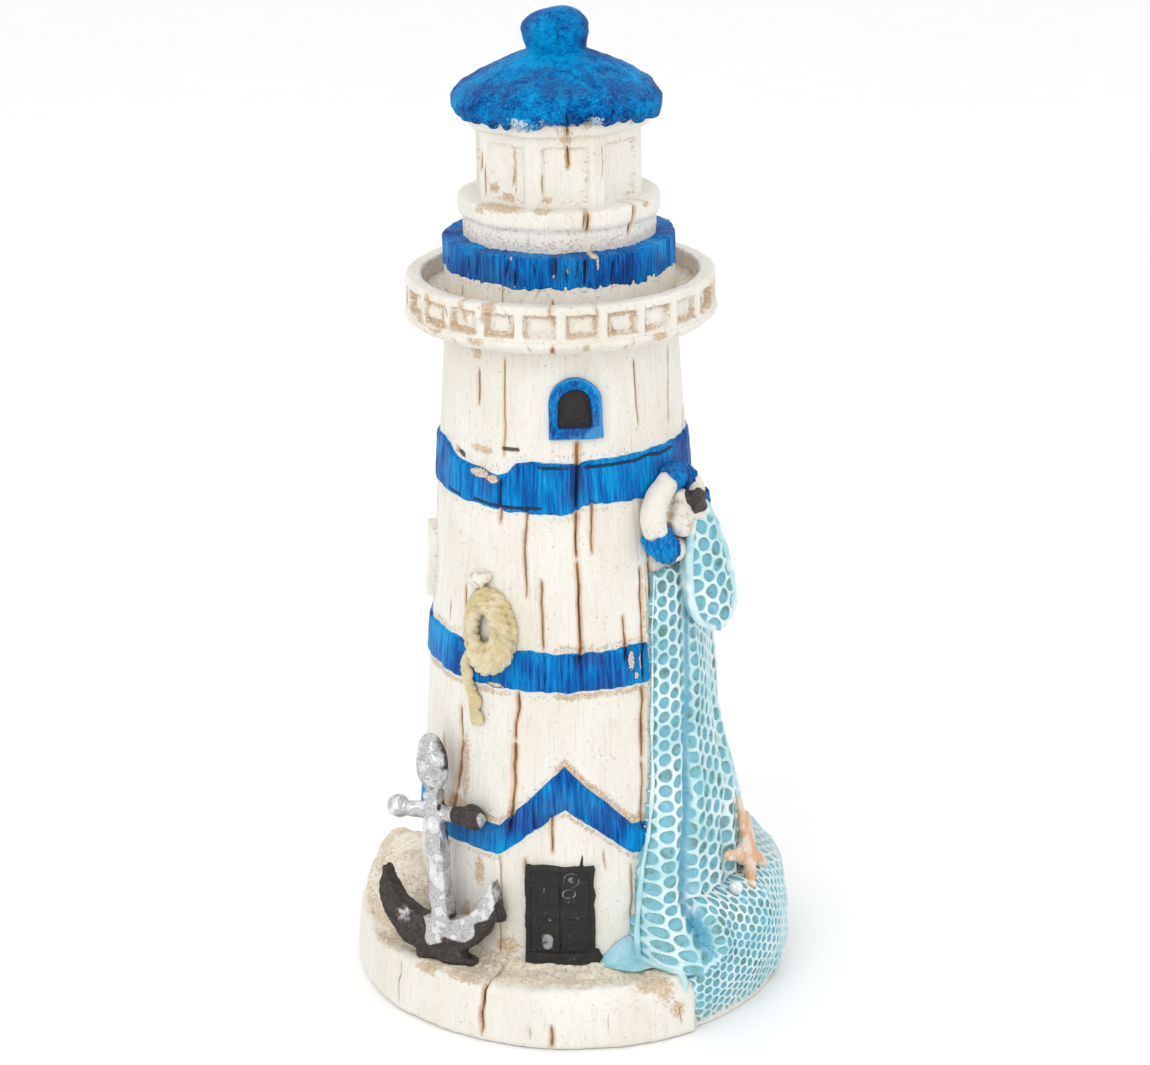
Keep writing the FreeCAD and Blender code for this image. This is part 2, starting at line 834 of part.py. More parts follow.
def net_flap():
    """The fold of net that hangs in front, under the peg."""
    top = ring_middle + peg_up - knot_radius - net_gap
    tongue = flap_face().extrude(Vector(0, 0, flap_thickness))
    tongue = placed(tongue, on_tower(flap_azimuth, top, flap_out, flap_lean))
    ring = Part.makeTorus(ring_radius, ring_tube_radius + wrap_thickness + net_gap)
    tongue = tongue.cut(placed(ring, ring_place()))
    tongue = tongue.cut(tower_cone(net_thickness_top + 4 * net_gap, base_top, tower_top))
    return max(tongue.Solids, key=lambda solid: solid.Volume)


def net_hem():
    """A plain fold at the net's edge, lying on the base against the tower."""
    low = base_top + glue_gap
    reach = on_rim(hem_reach)
    inner = tower_radius(low + hem_height) - 1
    profile = [
        (inner, low),
        (reach, low),
        (reach, low + 0.6),
        ((reach + tower_foot_radius) / 2, low + 0.3 * hem_height, 0),
        (tower_foot_radius + 0.6, low + hem_height),
        (inner, low + hem_height),
    ]
    fold = turned(profile, hem_start, pile_start - hem_start - 0.5)
    return fold.cut(tower_cone(glue_gap, base_top, tower_top))


# ---- rope
def coil_place():
    return on_tower(coil_azimuth, coil_middle, band_proud + rope_radius + net_gap)


def rope_peg_place():
    z = coil_middle + coil_height / 2 + rope_peg_radius + 0.4
    return on_tower(coil_azimuth + rope_peg_turn, z, 0)


def rope_coil():
    """Turns of rope laid one inside the other, each an oval ring."""
    rings = []
    for turn in range(coil_turns):
        step = turn * (2 * rope_radius + glue_gap)
        tall = coil_height / 2 - rope_radius - step
        wide = coil_width / 2 - rope_radius - step
        path = Part.Wire(Part.Ellipse(Vector(0, tall, 0), Vector(wide, 0, 0), AXIS_FOOT).toShape())
        section = Part.Wire(Part.Circle(Vector(0, tall, 0), Vector(1, 0, 0), rope_radius).toShape())
        ring = path.makePipeShell([section], True, True)
        rings.append(placed(ring, coil_place()))
    return grouped(rings)


def rope_tail():
    """The rope's end, hanging down beside the coil."""
    radius = rope_radius * 0.8
    start = Vector(-coil_width / 2 - radius - net_gap, -0.15 * coil_height, 0)
    bend = Vector(start.x + tail_shift * 0.3, start.y - tail_length * 0.5, 0)
    end = Vector(start.x + tail_shift, start.y - tail_length, 0)
    path = Part.Wire(Part.Arc(start, bend, end).toShape())
    tangent = path.Edges[0].tangentAt(path.Edges[0].FirstParameter)
    section = Part.Wire(Part.Circle(start, tangent, radius).toShape())
    return placed(path.makePipeShell([section], True, False), coil_place())


def rope_peg():
    """The cleat that the coil hangs from."""
    pin = Part.makeCylinder(rope_peg_radius, rope_peg_depth + rope_peg_reach, Vector(0, 0, -rope_peg_depth))
    return placed(pin, rope_peg_place())


# ---- starfish and pearl
def flare_at(share):
    """The net's flare at a share of its height, read off between the listed ones."""
    for (low, flare_low), (high, flare_high) in zip(net_flare, net_flare[1:]):
        if share <= high:
            return flare_low + (flare_high - flare_low) * (share - low) / (high - low)
    return 1.0


def on_net(azimuth, along, out):
    """A point off the net's face, up the hanging part from the pile's top edge, or down the pile."""
    if along >= 0:
        share = along / (net_top - pile_top)
        return point_at(azimuth, drape_radius(share, flare_at(share)) + out, pile_top + along)
    run, drop = base_radius + pile_overhang - on_rim(pile_shoulder), pile_height - 1.0
    slant = math.hypot(run, drop)
    radius = on_rim(pile_shoulder) - along * run / slant + (pile_bulge + out) * drop / slant
    return point_at(azimuth, radius, pile_top + along * drop / slant + (pile_bulge + out) * run / slant)


def starfish():
    """Round arms that follow the net from a common middle."""
    bow = star_arm_length**2 / (8 * on_rim(pile_shoulder))
    middle = on_net(star_azimuth, star_lift, star_arm_root + bow + net_gap)
    body = Part.makeSphere(star_arm_root, middle)
    for index in range(star_arm_count):
        a = math.radians(90 + index * FULL_TURN / star_arm_count)
        aside = math.degrees(star_arm_length * math.cos(a) / on_rim(pile_shoulder))
        up = star_lift + star_arm_length * math.sin(a)
        tip = on_net(star_azimuth + aside, up, star_arm_tip + bow + net_gap)
        arm = Part.makeCone(star_arm_root, star_arm_tip, middle.distanceToPoint(tip), middle, tip.sub(middle))
        body = body.fuse(arm).fuse(Part.makeSphere(star_arm_tip, tip))
    return body.removeSplitter()


def pearl():
    return Part.makeSphere(pearl_radius, on_net(pearl_azimuth, -pearl_drop, pearl_radius + net_gap))


def left_leaf():
    return door_leaf(-1)


def right_leaf():
    return door_leaf(1)


NODES = {
    "base_pad": base_pad,
    "base": base,
    "sand_mound": sand_mound,
    "tower": tower,
    "upper_band": upper_band,
    "middle_band": middle_band,
    "gable_band": gable_band,
    "gallery_deck": gallery_deck,
    "gallery_parapet": gallery_parapet,
    "lantern_plinth": lantern_plinth,
    "collar_ring": collar_ring,
    "lantern_sill": lantern_sill,
    "lantern_room": lantern_room,
    "cornice_ring": cornice_ring,
    "roof": roof,
    "roof_knob": roof_knob,
    "front_window_frame": lambda: window_frame(*front_window(), window_proud),
    "front_window_pane": lambda: window_pane(*front_window()),
    "side_window_frame": lambda: window_frame(*side_window(), side_window_proud),
    "side_window_pane": lambda: window_pane(*side_window()),
    "door_frame": door_frame,
    "door_leaf_left": left_leaf,
    "door_leaf_right": right_leaf,
    "door_step": door_step,
    "anchor_arms": anchor_arms,
    "anchor_shank": anchor_shank,
    "anchor_stock": anchor_stock,
    "life_ring": life_ring,
    "life_ring_wraps": life_ring_wraps,
    "net_peg": net_peg,
    "net_knot": net_knot,
    "net_flap": net_flap,
    "net_drape": net_drape,
    "net_pile": net_pile,
    "net_hem": net_hem,
    "rope_coil": rope_coil,
    "rope_tail": rope_tail,
    "rope_peg": rope_peg,
    "starfish": starfish,
    "pearl": pearl,
}


def main():
    os.makedirs("parts", exist_ok=True)
    for name, make in NODES.items():
        shape = make()
        count = len(shape.Solids)
        if count == 0 or not shape.isValid():
            raise SystemExit(f"{name}: {count} solids, valid {shape.isValid()}")
        shape.exportStep(f"parts/{name}.step")
        print(f"{name:22s} solids {count}  volume {shape.Volume:10.1f} mm3")


main()
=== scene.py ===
import math

import bpy
import numpy as np
from mathutils import Matrix, Vector


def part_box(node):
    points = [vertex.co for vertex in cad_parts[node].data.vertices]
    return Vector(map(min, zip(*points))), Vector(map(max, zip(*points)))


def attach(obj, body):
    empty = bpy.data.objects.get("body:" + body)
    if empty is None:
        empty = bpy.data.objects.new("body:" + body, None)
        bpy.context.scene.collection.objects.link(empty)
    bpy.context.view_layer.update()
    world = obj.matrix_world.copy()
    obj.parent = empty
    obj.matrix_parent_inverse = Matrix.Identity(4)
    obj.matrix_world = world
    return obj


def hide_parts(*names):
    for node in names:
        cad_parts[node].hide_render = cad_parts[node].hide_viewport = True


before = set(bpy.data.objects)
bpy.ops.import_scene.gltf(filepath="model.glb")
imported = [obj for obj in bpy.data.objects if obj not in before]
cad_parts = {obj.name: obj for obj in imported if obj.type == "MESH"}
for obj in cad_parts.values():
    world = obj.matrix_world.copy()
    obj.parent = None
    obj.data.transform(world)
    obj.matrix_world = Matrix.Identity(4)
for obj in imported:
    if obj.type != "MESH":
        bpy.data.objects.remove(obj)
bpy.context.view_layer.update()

# Lengths are in millimetres until a piece is finished, and an azimuth is in degrees, 0 at the door, growing to the right.
MM = 0.001
TURN = 2 * math.pi


# ---------------------------------------------------------------- sizes read off the frame
def span(node):
    low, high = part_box(node)
    return low / MM, high / MM


BASE_R = span("base")[1].x
BASE_TOP = span("base")[1].z
FOOT_R = span("tower")[1].x
TOWER_TOP = span("tower")[1].z
UPPER = span("upper_band")
MIDDLE = span("middle_band")
GABLE = span("gable_band")
DECK = span("gallery_deck")
PARAPET = span("gallery_parapet")
PLINTH = span("lantern_plinth")
COLLAR = span("collar_ring")
SILL = span("lantern_sill")
LANTERN = span("lantern_room")
CORNICE = span("cornice_ring")
ROOF = span("roof")
KNOB = span("roof_knob")
BAND_PROUD = 0.5
SLOPE = (FOOT_R - (UPPER[1].x - BAND_PROUD)) / (UPPER[0].z - BASE_TOP)
SLOPE_ANGLE = math.atan(SLOPE)


def tower_radius(z):
    return FOOT_R - SLOPE * (z - BASE_TOP)


# ---------------------------------------------------------------- sculpting helpers
def clear():
    if bpy.context.object and bpy.context.object.mode != "OBJECT":
        bpy.ops.object.mode_set(mode="OBJECT")
    bpy.ops.object.select_all(action="DESELECT")


def only(*pieces):
    clear()
    for piece in pieces:
        piece.select_set(True)
    bpy.context.view_layer.objects.active = pieces[-1]


def edit(piece, kind="VERT"):
    only(piece)
    bpy.ops.object.mode_set(mode="EDIT")
    bpy.ops.mesh.select_mode(type=kind)
    bpy.ops.mesh.select_all(action="SELECT")


def done():
    bpy.ops.object.mode_set(mode="OBJECT")
    return bpy.context.object


def points(piece):
    co = np.empty(len(piece.data.vertices) * 3)
    piece.data.vertices.foreach_get("co", co)
    return co.reshape(-1, 3)


def put(piece, co):
    piece.data.vertices.foreach_set("co", np.ascontiguousarray(co, dtype=float).ravel())
    piece.data.update()


def normals(piece):
    out = np.empty(len(piece.data.vertices) * 3)
    piece.data.vertices.foreach_get("normal", out)
    return out.reshape(-1, 3)


def polar(co):
    """Azimuth in degrees, radius and height of each point."""
    return np.degrees(np.arctan2(co[:, 0], -co[:, 1])), np.hypot(co[:, 0], co[:, 1]), co[:, 2]


def unpolar(azimuth, radius, z):
    a = np.radians(azimuth)
    return np.stack([radius * np.sin(a), -radius * np.cos(a), z + 0 * radius], axis=1)


def grid_value(cell, seed):
    n = cell[..., 0] * 374761393 + cell[..., 1] * 668265263 + cell[..., 2] * 1440662683 + seed * 982451653
    n = (n ^ (n >> 13)) * 1274126177 & 0x7FFFFFFF
    return ((n ^ (n >> 16)) & 0xFFFF) / 32767.5 - 1


def lumps(co, size, seed=0):
    """Smooth bumps between -1 and 1, about size across; size may be one number or three."""
    q = co / np.asarray(size, dtype=float) + seed * 7.31
    cell = np.floor(q).astype(np.int64)
    f = q - cell
    f = f * f * (3 - 2 * f)
    total = 0
    for corner in np.ndindex(2, 2, 2):
        share = np.prod(np.where(np.array(corner) == 1, f, 1 - f), axis=1)
        total = total + share * grid_value(cell + np.array(corner), seed)
    return total


def rough_skin(co, size, seed=0, layers=3):
    return sum(lumps(co, np.asarray(size) / 2**k, seed + k) / 2**k for k in range(layers))


def ease(low, high, x):
    t = np.clip((x - low) / (high - low), 0, 1)
    return t * t * (3 - 2 * t)


def apart(a, b):
    """Difference of two azimuths, from -180 to 180."""
    return (a - b + 180) % 360 - 180


def mark(piece, name, values):
    """Stores a number on each point, for the finish to read."""
    layer = piece.data.attributes.get(name) or piece.data.attributes.new(name, "FLOAT", "POINT")
    layer.data.foreach_set("value", np.ascontiguousarray(values, dtype=np.float32))


def apply_all(piece):
    only(piece)
    for modifier in list(piece.modifiers):
        bpy.ops.object.modifier_apply(modifier=modifier.name)
    return piece


def push(piece, amount):
    """Moves each point along its normal."""
    put(piece, points(piece) + normals(piece) * np.asarray(amount)[:, None])


def soft_line(corners, step, round_off=0.5):
    """A profile through the corners, each rounded, with a point every step."""
    path = [np.array(corners[0], float)]
    for before, corner, after in zip(corners, corners[1:], corners[2:]):
        before, corner, after = (np.array(p, float) for p in (before, corner, after))
        into, out = before - corner, after - corner
        reach = min(round_off, 0.45 * np.linalg.norm(into), 0.45 * np.linalg.norm(out))
        start = corner + into / np.linalg.norm(into) * reach
        end = corner + out / np.linalg.norm(out) * reach
        for t in (0, 0.25, 0.5, 0.75, 1):
            path.append((1 - t) ** 2 * start + 2 * t * (1 - t) * corner + t * t * end)
    path.append(np.array(corners[-1], float))
    path = np.array(path)
    length = np.concatenate([[0], np.cumsum(np.linalg.norm(np.diff(path, axis=0), axis=1))])
    count = max(2, int(round(length[-1] / step)))
    at = np.linspace(0, length[-1], count + 1)
    return np.stack([np.interp(at, length, path[:, k]) for k in (0, 1)], axis=1)


def lathe(name, profile, steps=440):
    """Spins a profile of (radius, height) once round the axis."""
    clear()
    bpy.ops.mesh.primitive_plane_add(size=1)
    piece = bpy.context.object
    piece.name = piece.data.name = name
    edit(piece)
    bpy.ops.mesh.merge(type="CENTER")
    bpy.ops.transform.translate(value=(profile[0][0], 0, profile[0][1]))
    for last, here in zip(profile, profile[1:]):
        step = (here[0] - last[0], 0, here[1] - last[1])
        bpy.ops.mesh.extrude_region_move(TRANSFORM_OT_translate={"value": step})
    bpy.ops.mesh.select_all(action="SELECT")
    bpy.ops.mesh.spin(steps=steps // 8, angle=TURN / 8, center=(0, 0, 0), axis=(0, 0, 1))
    for copies in (8, 4, 2):
        bpy.ops.mesh.select_all(action="SELECT")
        bpy.ops.mesh.duplicate()
        bpy.ops.transform.rotate(value=TURN / copies, orient_axis="Z", center_override=(0, 0, 0))
    bpy.ops.mesh.select_all(action="SELECT")
    bpy.ops.mesh.remove_doubles(threshold=1e-3)
    bpy.ops.mesh.normals_make_consistent(inside=False)
    return done()


def place_mark(piece, co):
    """Stores where each point lies on the piece, in millimetres, for patterns that follow it."""
    layer = piece.data.attributes.get("lie") or piece.data.attributes.new("lie", "FLOAT_VECTOR", "POINT")
    layer.data.foreach_set("vector", np.ascontiguousarray(co, dtype=np.float32).ravel())


def along_tower(co):
    """Places with the tower's taper taken out, so that grain runs up the wall."""
    k = 24 / tower_radius(co[:, 2])
    return np.stack([co[:, 0] * k, co[:, 1] * k, co[:, 2]], axis=1)


def finished(piece, finish, slot, *nodes, smooth=40):
    """Brings a piece to metres, gives it its finish, and hangs it on the body in place of the nodes."""
    if "lie" not in piece.data.attributes:
        place_mark(piece, points(piece))
    put(piece, points(piece) * MM)
    only(piece)
    bpy.ops.object.shade_smooth_by_angle(angle=math.radians(smooth))
    piece.data.materials.clear()
    piece.data.materials.append(finish)
    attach(piece, "root")
    if nodes:
        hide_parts(*nodes)
    return piece


def cast_copy(name, nodes, voxel, extras=()):
    """One cast skin over copies of CAD nodes and of any extra shapes."""
    parts = list(extras)
    for node in nodes:
        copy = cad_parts[node].copy()
        copy.data = copy.data.copy()
        for key in list(copy.keys()):
            del copy[key]
        copy.parent = None
        bpy.context.scene.collection.objects.link(copy)
        copy.hide_render = copy.hide_viewport = False
        put(copy, points(copy) / MM)
        parts.append(copy)
    only(*parts)
    bpy.ops.object.join()
    piece = bpy.context.object
    piece.name = piece.data.name = name
    edit(piece)
    bpy.ops.mesh.remove_doubles(threshold=1e-3)
    done()
    piece.data.materials.clear()
    skin = piece.modifiers.new("skin", "REMESH")
    skin.mode = "VOXEL"
    skin.voxel_size = voxel
    apply_all(piece)
    return piece


def smoothed(piece, repeat, factor=0.5):
    soft = piece.modifiers.new("soft", "SMOOTH")
    soft.iterations = repeat
    soft.factor = factor
    return apply_all(piece)


def hollows(piece, repeat=8):
    """How far each point lies down in a crease, in mm; below zero on a ridge."""
    only(piece)
    bpy.ops.object.duplicate()
    soft = smoothed(bpy.context.object, repeat)
    deep = ((points(soft) - points(piece)) * normals(piece)).sum(axis=1)
    only(soft)
    bpy.ops.object.delete()
    only(piece)
    return deep


# ---------------------------------------------------------------- finishes
class Wire:
    """The output of a shader node. Sums on it add Math nodes."""

    def __init__(self, tree, socket):
        self.tree = tree
        self.socket = socket

    def sum(self, operation, *values):
        return Finish.add(self.tree, "Math", {"operation": operation}, dict(enumerate(values)))

    def __add__(self, other):
        return self.sum("ADD", self, other)

    __radd__ = __add__

    def __mul__(self, other):
        return self.sum("MULTIPLY", self, other)

    __rmul__ = __mul__

    def __sub__(self, other):
        return self.sum("SUBTRACT", self, other)

    def __rsub__(self, other):
        return self.sum("SUBTRACT", other, self)

    def __truediv__(self, other):
        return self.sum("DIVIDE", self, other)

    def __pow__(self, other):
        return self.sum("POWER", self, other)

    def __abs__(self):
        return self.sum("ABSOLUTE", self)


class Finish:
    """A material under construction."""

    def __init__(self, name, own_places=True):
        self.own_places = own_places
        self.material = bpy.data.materials.new(name)
        self.material.use_nodes = True
        self.tree = self.material.node_tree
        self.tree.nodes.clear()

    @staticmethod
    def add(tree, kind, settings, sockets, out=0):
        node = tree.nodes.new("ShaderNode" + kind)
        for key, value in settings.items():
            if key == "stops":
                ramp = node.color_ramp
                while len(ramp.elements) < len(value):
                    ramp.elements.new(1)
                for stop, (at, colour) in zip(ramp.elements, value):
                    stop.position = at
                    stop.color = (*colour, 1)
            else:
                setattr(node, key, value)
        for key, value in sockets.items():
            if isinstance(value, Wire):
                tree.links.new(value.socket, node.inputs[key])
            else:
                node.inputs[key].default_value = value
        return Wire(tree, node.outputs[out]) if node.outputs else node

    def node(self, kind, settings=None, sockets=None, out=0):
        return self.add(self.tree, kind, settings or {}, sockets or {}, out)

    def place(self, scale=(1, 1, 1)):
        """Places on the piece in millimetres, stretched."""
        if self.own_places:
            spot = self.node("Attribute", {"attribute_name": "lie"}, out="Vector")
        else:
            spot = self.node("TexCoord", out="Object")
            scale = tuple(s / MM for s in scale)
        return self.node("Mapping", {}, {"Vector": spot, "Scale": tuple(scale)})

    def noise(self, scale, detail=3.0, roughness=0.55, stretch=(1, 1, 1)):
        """Noise from 0 to 1; scale is lumps per millimetre."""
        where = self.place(tuple(scale * s for s in stretch))
        return self.node("TexNoise", {}, {"Vector": where, "Scale": 1.0, "Detail": detail, "Roughness": roughness})

    def cells(self, scale, stretch=(1, 1, 1), feature="F1"):
        where = self.place(tuple(scale * s for s in stretch))
        return self.node("TexVoronoi", {"feature": feature}, {"Vector": where, "Scale": 1.0})

    def marked(self, name):
        return self.node("Attribute", {"attribute_name": name}, out="Fac")

    def step(self, value, low, high):
        """0 below low and 1 above high, smooth between; low may be the larger."""
        settings = {"interpolation_type": "SMOOTHSTEP", "clamp": True}
        if low < high:
            return self.node("MapRange", settings, {"Value": value, "From Min": low, "From Max": high})
        sockets = {"Value": value, "From Min": high, "From Max": low, "To Min": 1.0, "To Max": 0.0}
        return self.node("MapRange", settings, sockets)

    def blend(self, share, under, over, mode="MIX"):
        sockets = {0: share}
        for key, colour in ((6, under), (7, over)):
            sockets[key] = colour if isinstance(colour, Wire) else (*colour, 1)
        return self.node("Mix", {"data_type": "RGBA", "blend_type": mode}, sockets, out=2)

    def ramp(self, value, *stops):
        return self.node("ValToRGB", {"stops": stops}, {"Fac": value})

    def close(self, colour, roughness, height, depth=0.2, **uniform):
        """Joins everything to the shader; height is 0 to 1 and depth its size in millimetres."""
        sockets = {"Base Color": colour, "Roughness": roughness}
        sockets.update({key.replace("_", " "): value for key, value in uniform.items()})
        bump = {"Height": height, "Distance": depth * MM, "Strength": 1.0}
        sockets["Normal"] = self.node("Bump", {}, bump)
        shader = self.node("BsdfPrincipled", {}, sockets)
        self.node("OutputMaterial", {}, {"Surface": shader})
        return self.material


CREAM = (0.755, 0.715, 0.625)
IVORY = (0.81, 0.79, 0.735)
SHADE = (0.58, 0.52, 0.42)
TAN = (0.50, 0.31, 0.15)
UMBER = (0.14, 0.065, 0.028)


def crack_lines(f, width=0.28):
    """The washed cracks, from the marks that a piece carries, as dark core and tan halo."""
    near = f.marked("crack_near")
    wobble = f.noise(0.9, 4.0, 0.7) - 0.5
    off = abs(f.marked("crack_side") + wobble * 0.4)
    core = f.step(off, width, width * 0.35) * near
    halo = f.step(off, width * 4.2, width * 0.7) * near
    groove = f.step(f.marked("groove") + wobble * 0.5, 0.40, 0.62)
    return core, halo, groove


def make_cream(name, grain=1.0, grit=0.0, wash=1.0):
    """Cream-painted planks: fine upright grain, brown wash in the cracks and in rubbed patches, and brown painted shade
    where a piece marks shade under overhangs, in recesses and in creases.
    """
    f = Finish(name)
    broad = f.noise(0.09, 3.0, 0.6, (1, 1, 0.45))
    streak = f.noise(2.4, 4.0, 0.65, (1, 1, 0.045))
    fine = f.noise(6.5, 2.0, 0.6, (1, 1, 0.05))
    fleck = f.noise(1.7, 5.0, 0.75)
    speck = f.noise(3.4, 3.0, 0.8)
    colour = f.blend(f.step(broad, 0.3, 0.7), CREAM, IVORY)
    grooves = f.step(streak, 0.46, 0.32)
    colour = f.blend(grooves * 0.38 * grain, colour, SHADE)
    thin_lines = f.step(fine, 0.40, 0.28) * f.step(broad, 0.62, 0.40)
    colour = f.blend(thin_lines * 0.42 * grain, colour, (0.60, 0.45, 0.29))
    stain = f.step(f.noise(0.16, 5.0, 0.7, (1, 1, 0.6)), 0.57, 0.74) * f.step(fleck, 0.42, 0.62)
    colour = f.blend(stain * 0.40 * wash, colour, (0.62, 0.45, 0.27))
    # The mark read here holds rubbed and stained patches, and on some pieces painted shade under overhangs, in recesses
    # and in creases; all of it turns the cream brown.
    worn = f.marked("worn")
    soft = f.step(worn + (broad - 0.5) * 0.4 + (fleck - 0.5) * 1.1, 0.12, 0.74)
    colour = f.blend(soft * 0.62, colour, (0.74, 0.47, 0.23))
    patch = f.step(worn + (fleck - 0.5) * 3.2 + (speck - 0.5) * 1.2, 0.52, 0.86)
    lumpy = f.ramp(speck * 0.6 + fleck * 0.4, (0.43, (0.22, 0.10, 0.04)), (0.475, (0.60, 0.32, 0.13)), (0.51, (0.80, 0.55, 0.30)), (0.56, (0.84, 0.76, 0.62)))
    colour = f.blend(patch * 0.8, colour, lumpy)
    core, halo, groove = crack_lines(f)
    tint = f.step(f.noise(0.45, 3.0, 0.6, (1, 1, 0.3)), 0.35, 0.65)
    colour = f.blend(halo * 0.72, colour, f.blend(tint, (0.50, 0.255, 0.10), (0.70, 0.46, 0.24)))
    colour = f.blend(core * 0.9, colour, f.blend(tint, (0.20, 0.085, 0.03), (0.44, 0.215, 0.08)))
    colour = f.blend(groove * 0.9, colour, (0.075, 0.06, 0.055))
    if grit:
        sandy = f.marked("grit")
        grain_of_sand = f.noise(1.3, 6.0, 0.8)
        sand = f.ramp(grain_of_sand, (0.34, (0.46, 0.32, 0.18)), (0.42, (0.70, 0.57, 0.40)), (0.54, (0.85, 0.78, 0.65)))
        colour = f.blend(f.step(sandy + (broad - 0.5) * 0.7, 0.25, 0.85) * 0.8 * grit, colour, sand)
    height = streak * 0.35 * grain + fine * 0.14 * grain + fleck * 0.22 + patch * speck * 0.6 - core * 0.8 - groove * 0.6
    rough = 0.45 + grooves * 0.2 + patch * 0.2 + fleck * 0.12
    return f.close(colour, rough, height, 0.24, Specular_IOR_Level=0.3)


def make_blue(name, upright=True):
    """Brushed blue paint over cream: streaks from cyan to navy, with light edges: rubbed paint on borders and ridges,
    and a painted highlight on the window frame.
    """
    f = Finish(name)
    lie = (1, 1, 0.05) if upright else (1, 1, 0.5)
    broad = f.noise(0.085, 2.0, 0.5)
    streak = f.noise(1.7, 4.0, 0.7, lie)
    fine = f.noise(5.0, 3.0, 0.7, lie)
    fleck = f.noise(3.0, 4.0, 0.8)
    mixed = broad * 0.62 + streak * 0.66 + fine * 0.42
    colour = f.ramp(
        mixed,
        (0.67, (0.006, 0.026, 0.14)),
        (0.77, (0.003, 0.075, 0.33)),
        (0.86, (0.0, 0.165, 0.50)),
        (0.97, (0.0, 0.31, 0.68)),
    )
    colour = f.blend(f.step(fine, 0.56, 0.70) * f.step(broad, 0.42, 0.6) * 0.6, colour, (0.03, 0.42, 0.76))
    purple = f.step(f.noise(0.11, 2.0, 0.5), 0.52, 0.66)
    colour = f.blend(purple * 0.55, colour, f.blend(f.step(streak, 0.4, 0.6), (0.018, 0.035, 0.16), (0.035, 0.075, 0.29)))
    # Lighter cyan from the edge mark: rubbed paint on borders and ridges, and on the window frame a painted highlight
    # down its right side and along its bottom.
    edge = f.marked("edge")
    light = f.step(edge + (fleck - 0.5) * 0.6, 0.72, 1.0)
    colour = f.blend(light * 0.5, colour, (0.10, 0.42, 0.74))
    worn = f.marked("worn")
    bare = f.step(worn + (fleck - 0.5) * 1.0, 0.46, 0.56)
    rim = f.step(worn + (fleck - 0.5) * 1.0, 0.34, 0.46) - bare
    speck = f.step(f.noise(1.4, 5.0, 0.85), 0.715, 0.745)
    colour = f.blend(rim * 0.8, colour, (0.03, 0.04, 0.09))
    colour = f.blend(bare * 0.9, colour, f.blend(f.step(fleck, 0.42, 0.56), (0.60, 0.34, 0.16), CREAM))
    colour = f.blend(speck * 0.8, colour, (0.62, 0.74, 0.84))
    core, halo, groove = crack_lines(f)
    colour = f.blend(halo * 0.5, colour, (0.010, 0.025, 0.10))
    colour = f.blend(core, colour, (0.02, 0.018, 0.02))
    colour = f.blend(groove * 0.9, colour, (0.035, 0.04, 0.055))
    height = streak * 0.5 + fine * 0.4 + fleck * 0.2 - core * 0.9 - groove * 0.7 - bare * 0.4
    rough = 0.30 + fleck * 0.2 + bare * 0.3
    return f.close(colour, rough, height, 0.30, Specular_IOR_Level=0.08)


def make_roof_blue(name):
    """Stippled blue paint on the roof and the knob, with pale chips low down."""
    f = Finish(name)
    broad = f.noise(0.10, 2.0, 0.5)
    middle = f.noise(0.6, 4.0, 0.7)
    dots = f.noise(2.6, 5.0, 0.85)
    grain = f.cells(2.2, feature="SMOOTH_F1")
    mixed = broad * 0.40 + middle * 0.46 + dots * 0.66
    colour = f.ramp(
        mixed,
        (0.63, (0.002, 0.020, 0.12)),
        (0.70, (0.0, 0.085, 0.34)),
        (0.77, (0.0, 0.19, 0.53)),
        (0.87, (0.0, 0.36, 0.74)),
    )
    purple = f.step(f.noise(0.14, 2.0, 0.5), 0.55, 0.68)
    colour = f.blend(purple * 0.5, colour, f.blend(f.step(dots, 0.42, 0.6), (0.02, 0.04, 0.17), (0.045, 0.10, 0.34)))
    colour = f.blend(f.step(dots, 0.60, 0.70) * 0.7, colour, (0.05, 0.46, 0.80))
    worn = f.marked("worn")
    chip = f.step(worn * 0.62 + (f.noise(1.9, 5.0, 0.85) - 0.5) * 1.5, 0.58, 0.64)
    colour = f.blend(chip * 0.9, colour, (0.66, 0.78, 0.86))
    edge = f.marked("edge")
    colour = f.blend(f.step(edge + (dots - 0.5) * 0.8, 0.75, 1.0) * 0.5, colour, (0.10, 0.42, 0.74))
    core, halo, groove = crack_lines(f, 0.18)
    colour = f.blend(halo * 0.4 + core * 0.5, colour, (0.01, 0.02, 0.08))
    height = dots * 0.7 + grain * 0.35 + middle * 0.3 - core * 0.6
    return f.close(colour, 0.34 + dots * 0.25, height, 0.42, Specular_IOR_Level=0.05)


def make_black(name):
    """Black paint rubbed grey on the high spots."""
    f = Finish(name)
    broad = f.noise(0.55, 4.0, 0.65)
    fine = f.noise(3.0, 5.0, 0.8)
    colour = f.ramp(fine, (0.3, (0.012, 0.011, 0.010)), (0.6, (0.032, 0.030, 0.028)), (0.8, (0.085, 0.080, 0.075)))
    rub = f.step(broad + (fine - 0.5) * 0.5, 0.62, 0.78)
    colour = f.blend(rub * 0.4, colour, (0.20, 0.20, 0.20))
    edge = f.step(f.marked("edge") + (fine - 0.5) * 0.8, 0.6, 1.0)
    colour = f.blend(edge * 0.3, colour, (0.16, 0.14, 0.12))
    scuff = f.step(f.marked("scuff") + (fine - 0.5) * 1.1, 0.45, 0.95)
    colour = f.blend(scuff * 0.75, colour, (0.46, 0.48, 0.50))
    height = fine * 0.6 + broad * 0.4
    return f.close(colour, 0.42 + fine * 0.3, height, 0.25, Specular_IOR_Level=0.25)


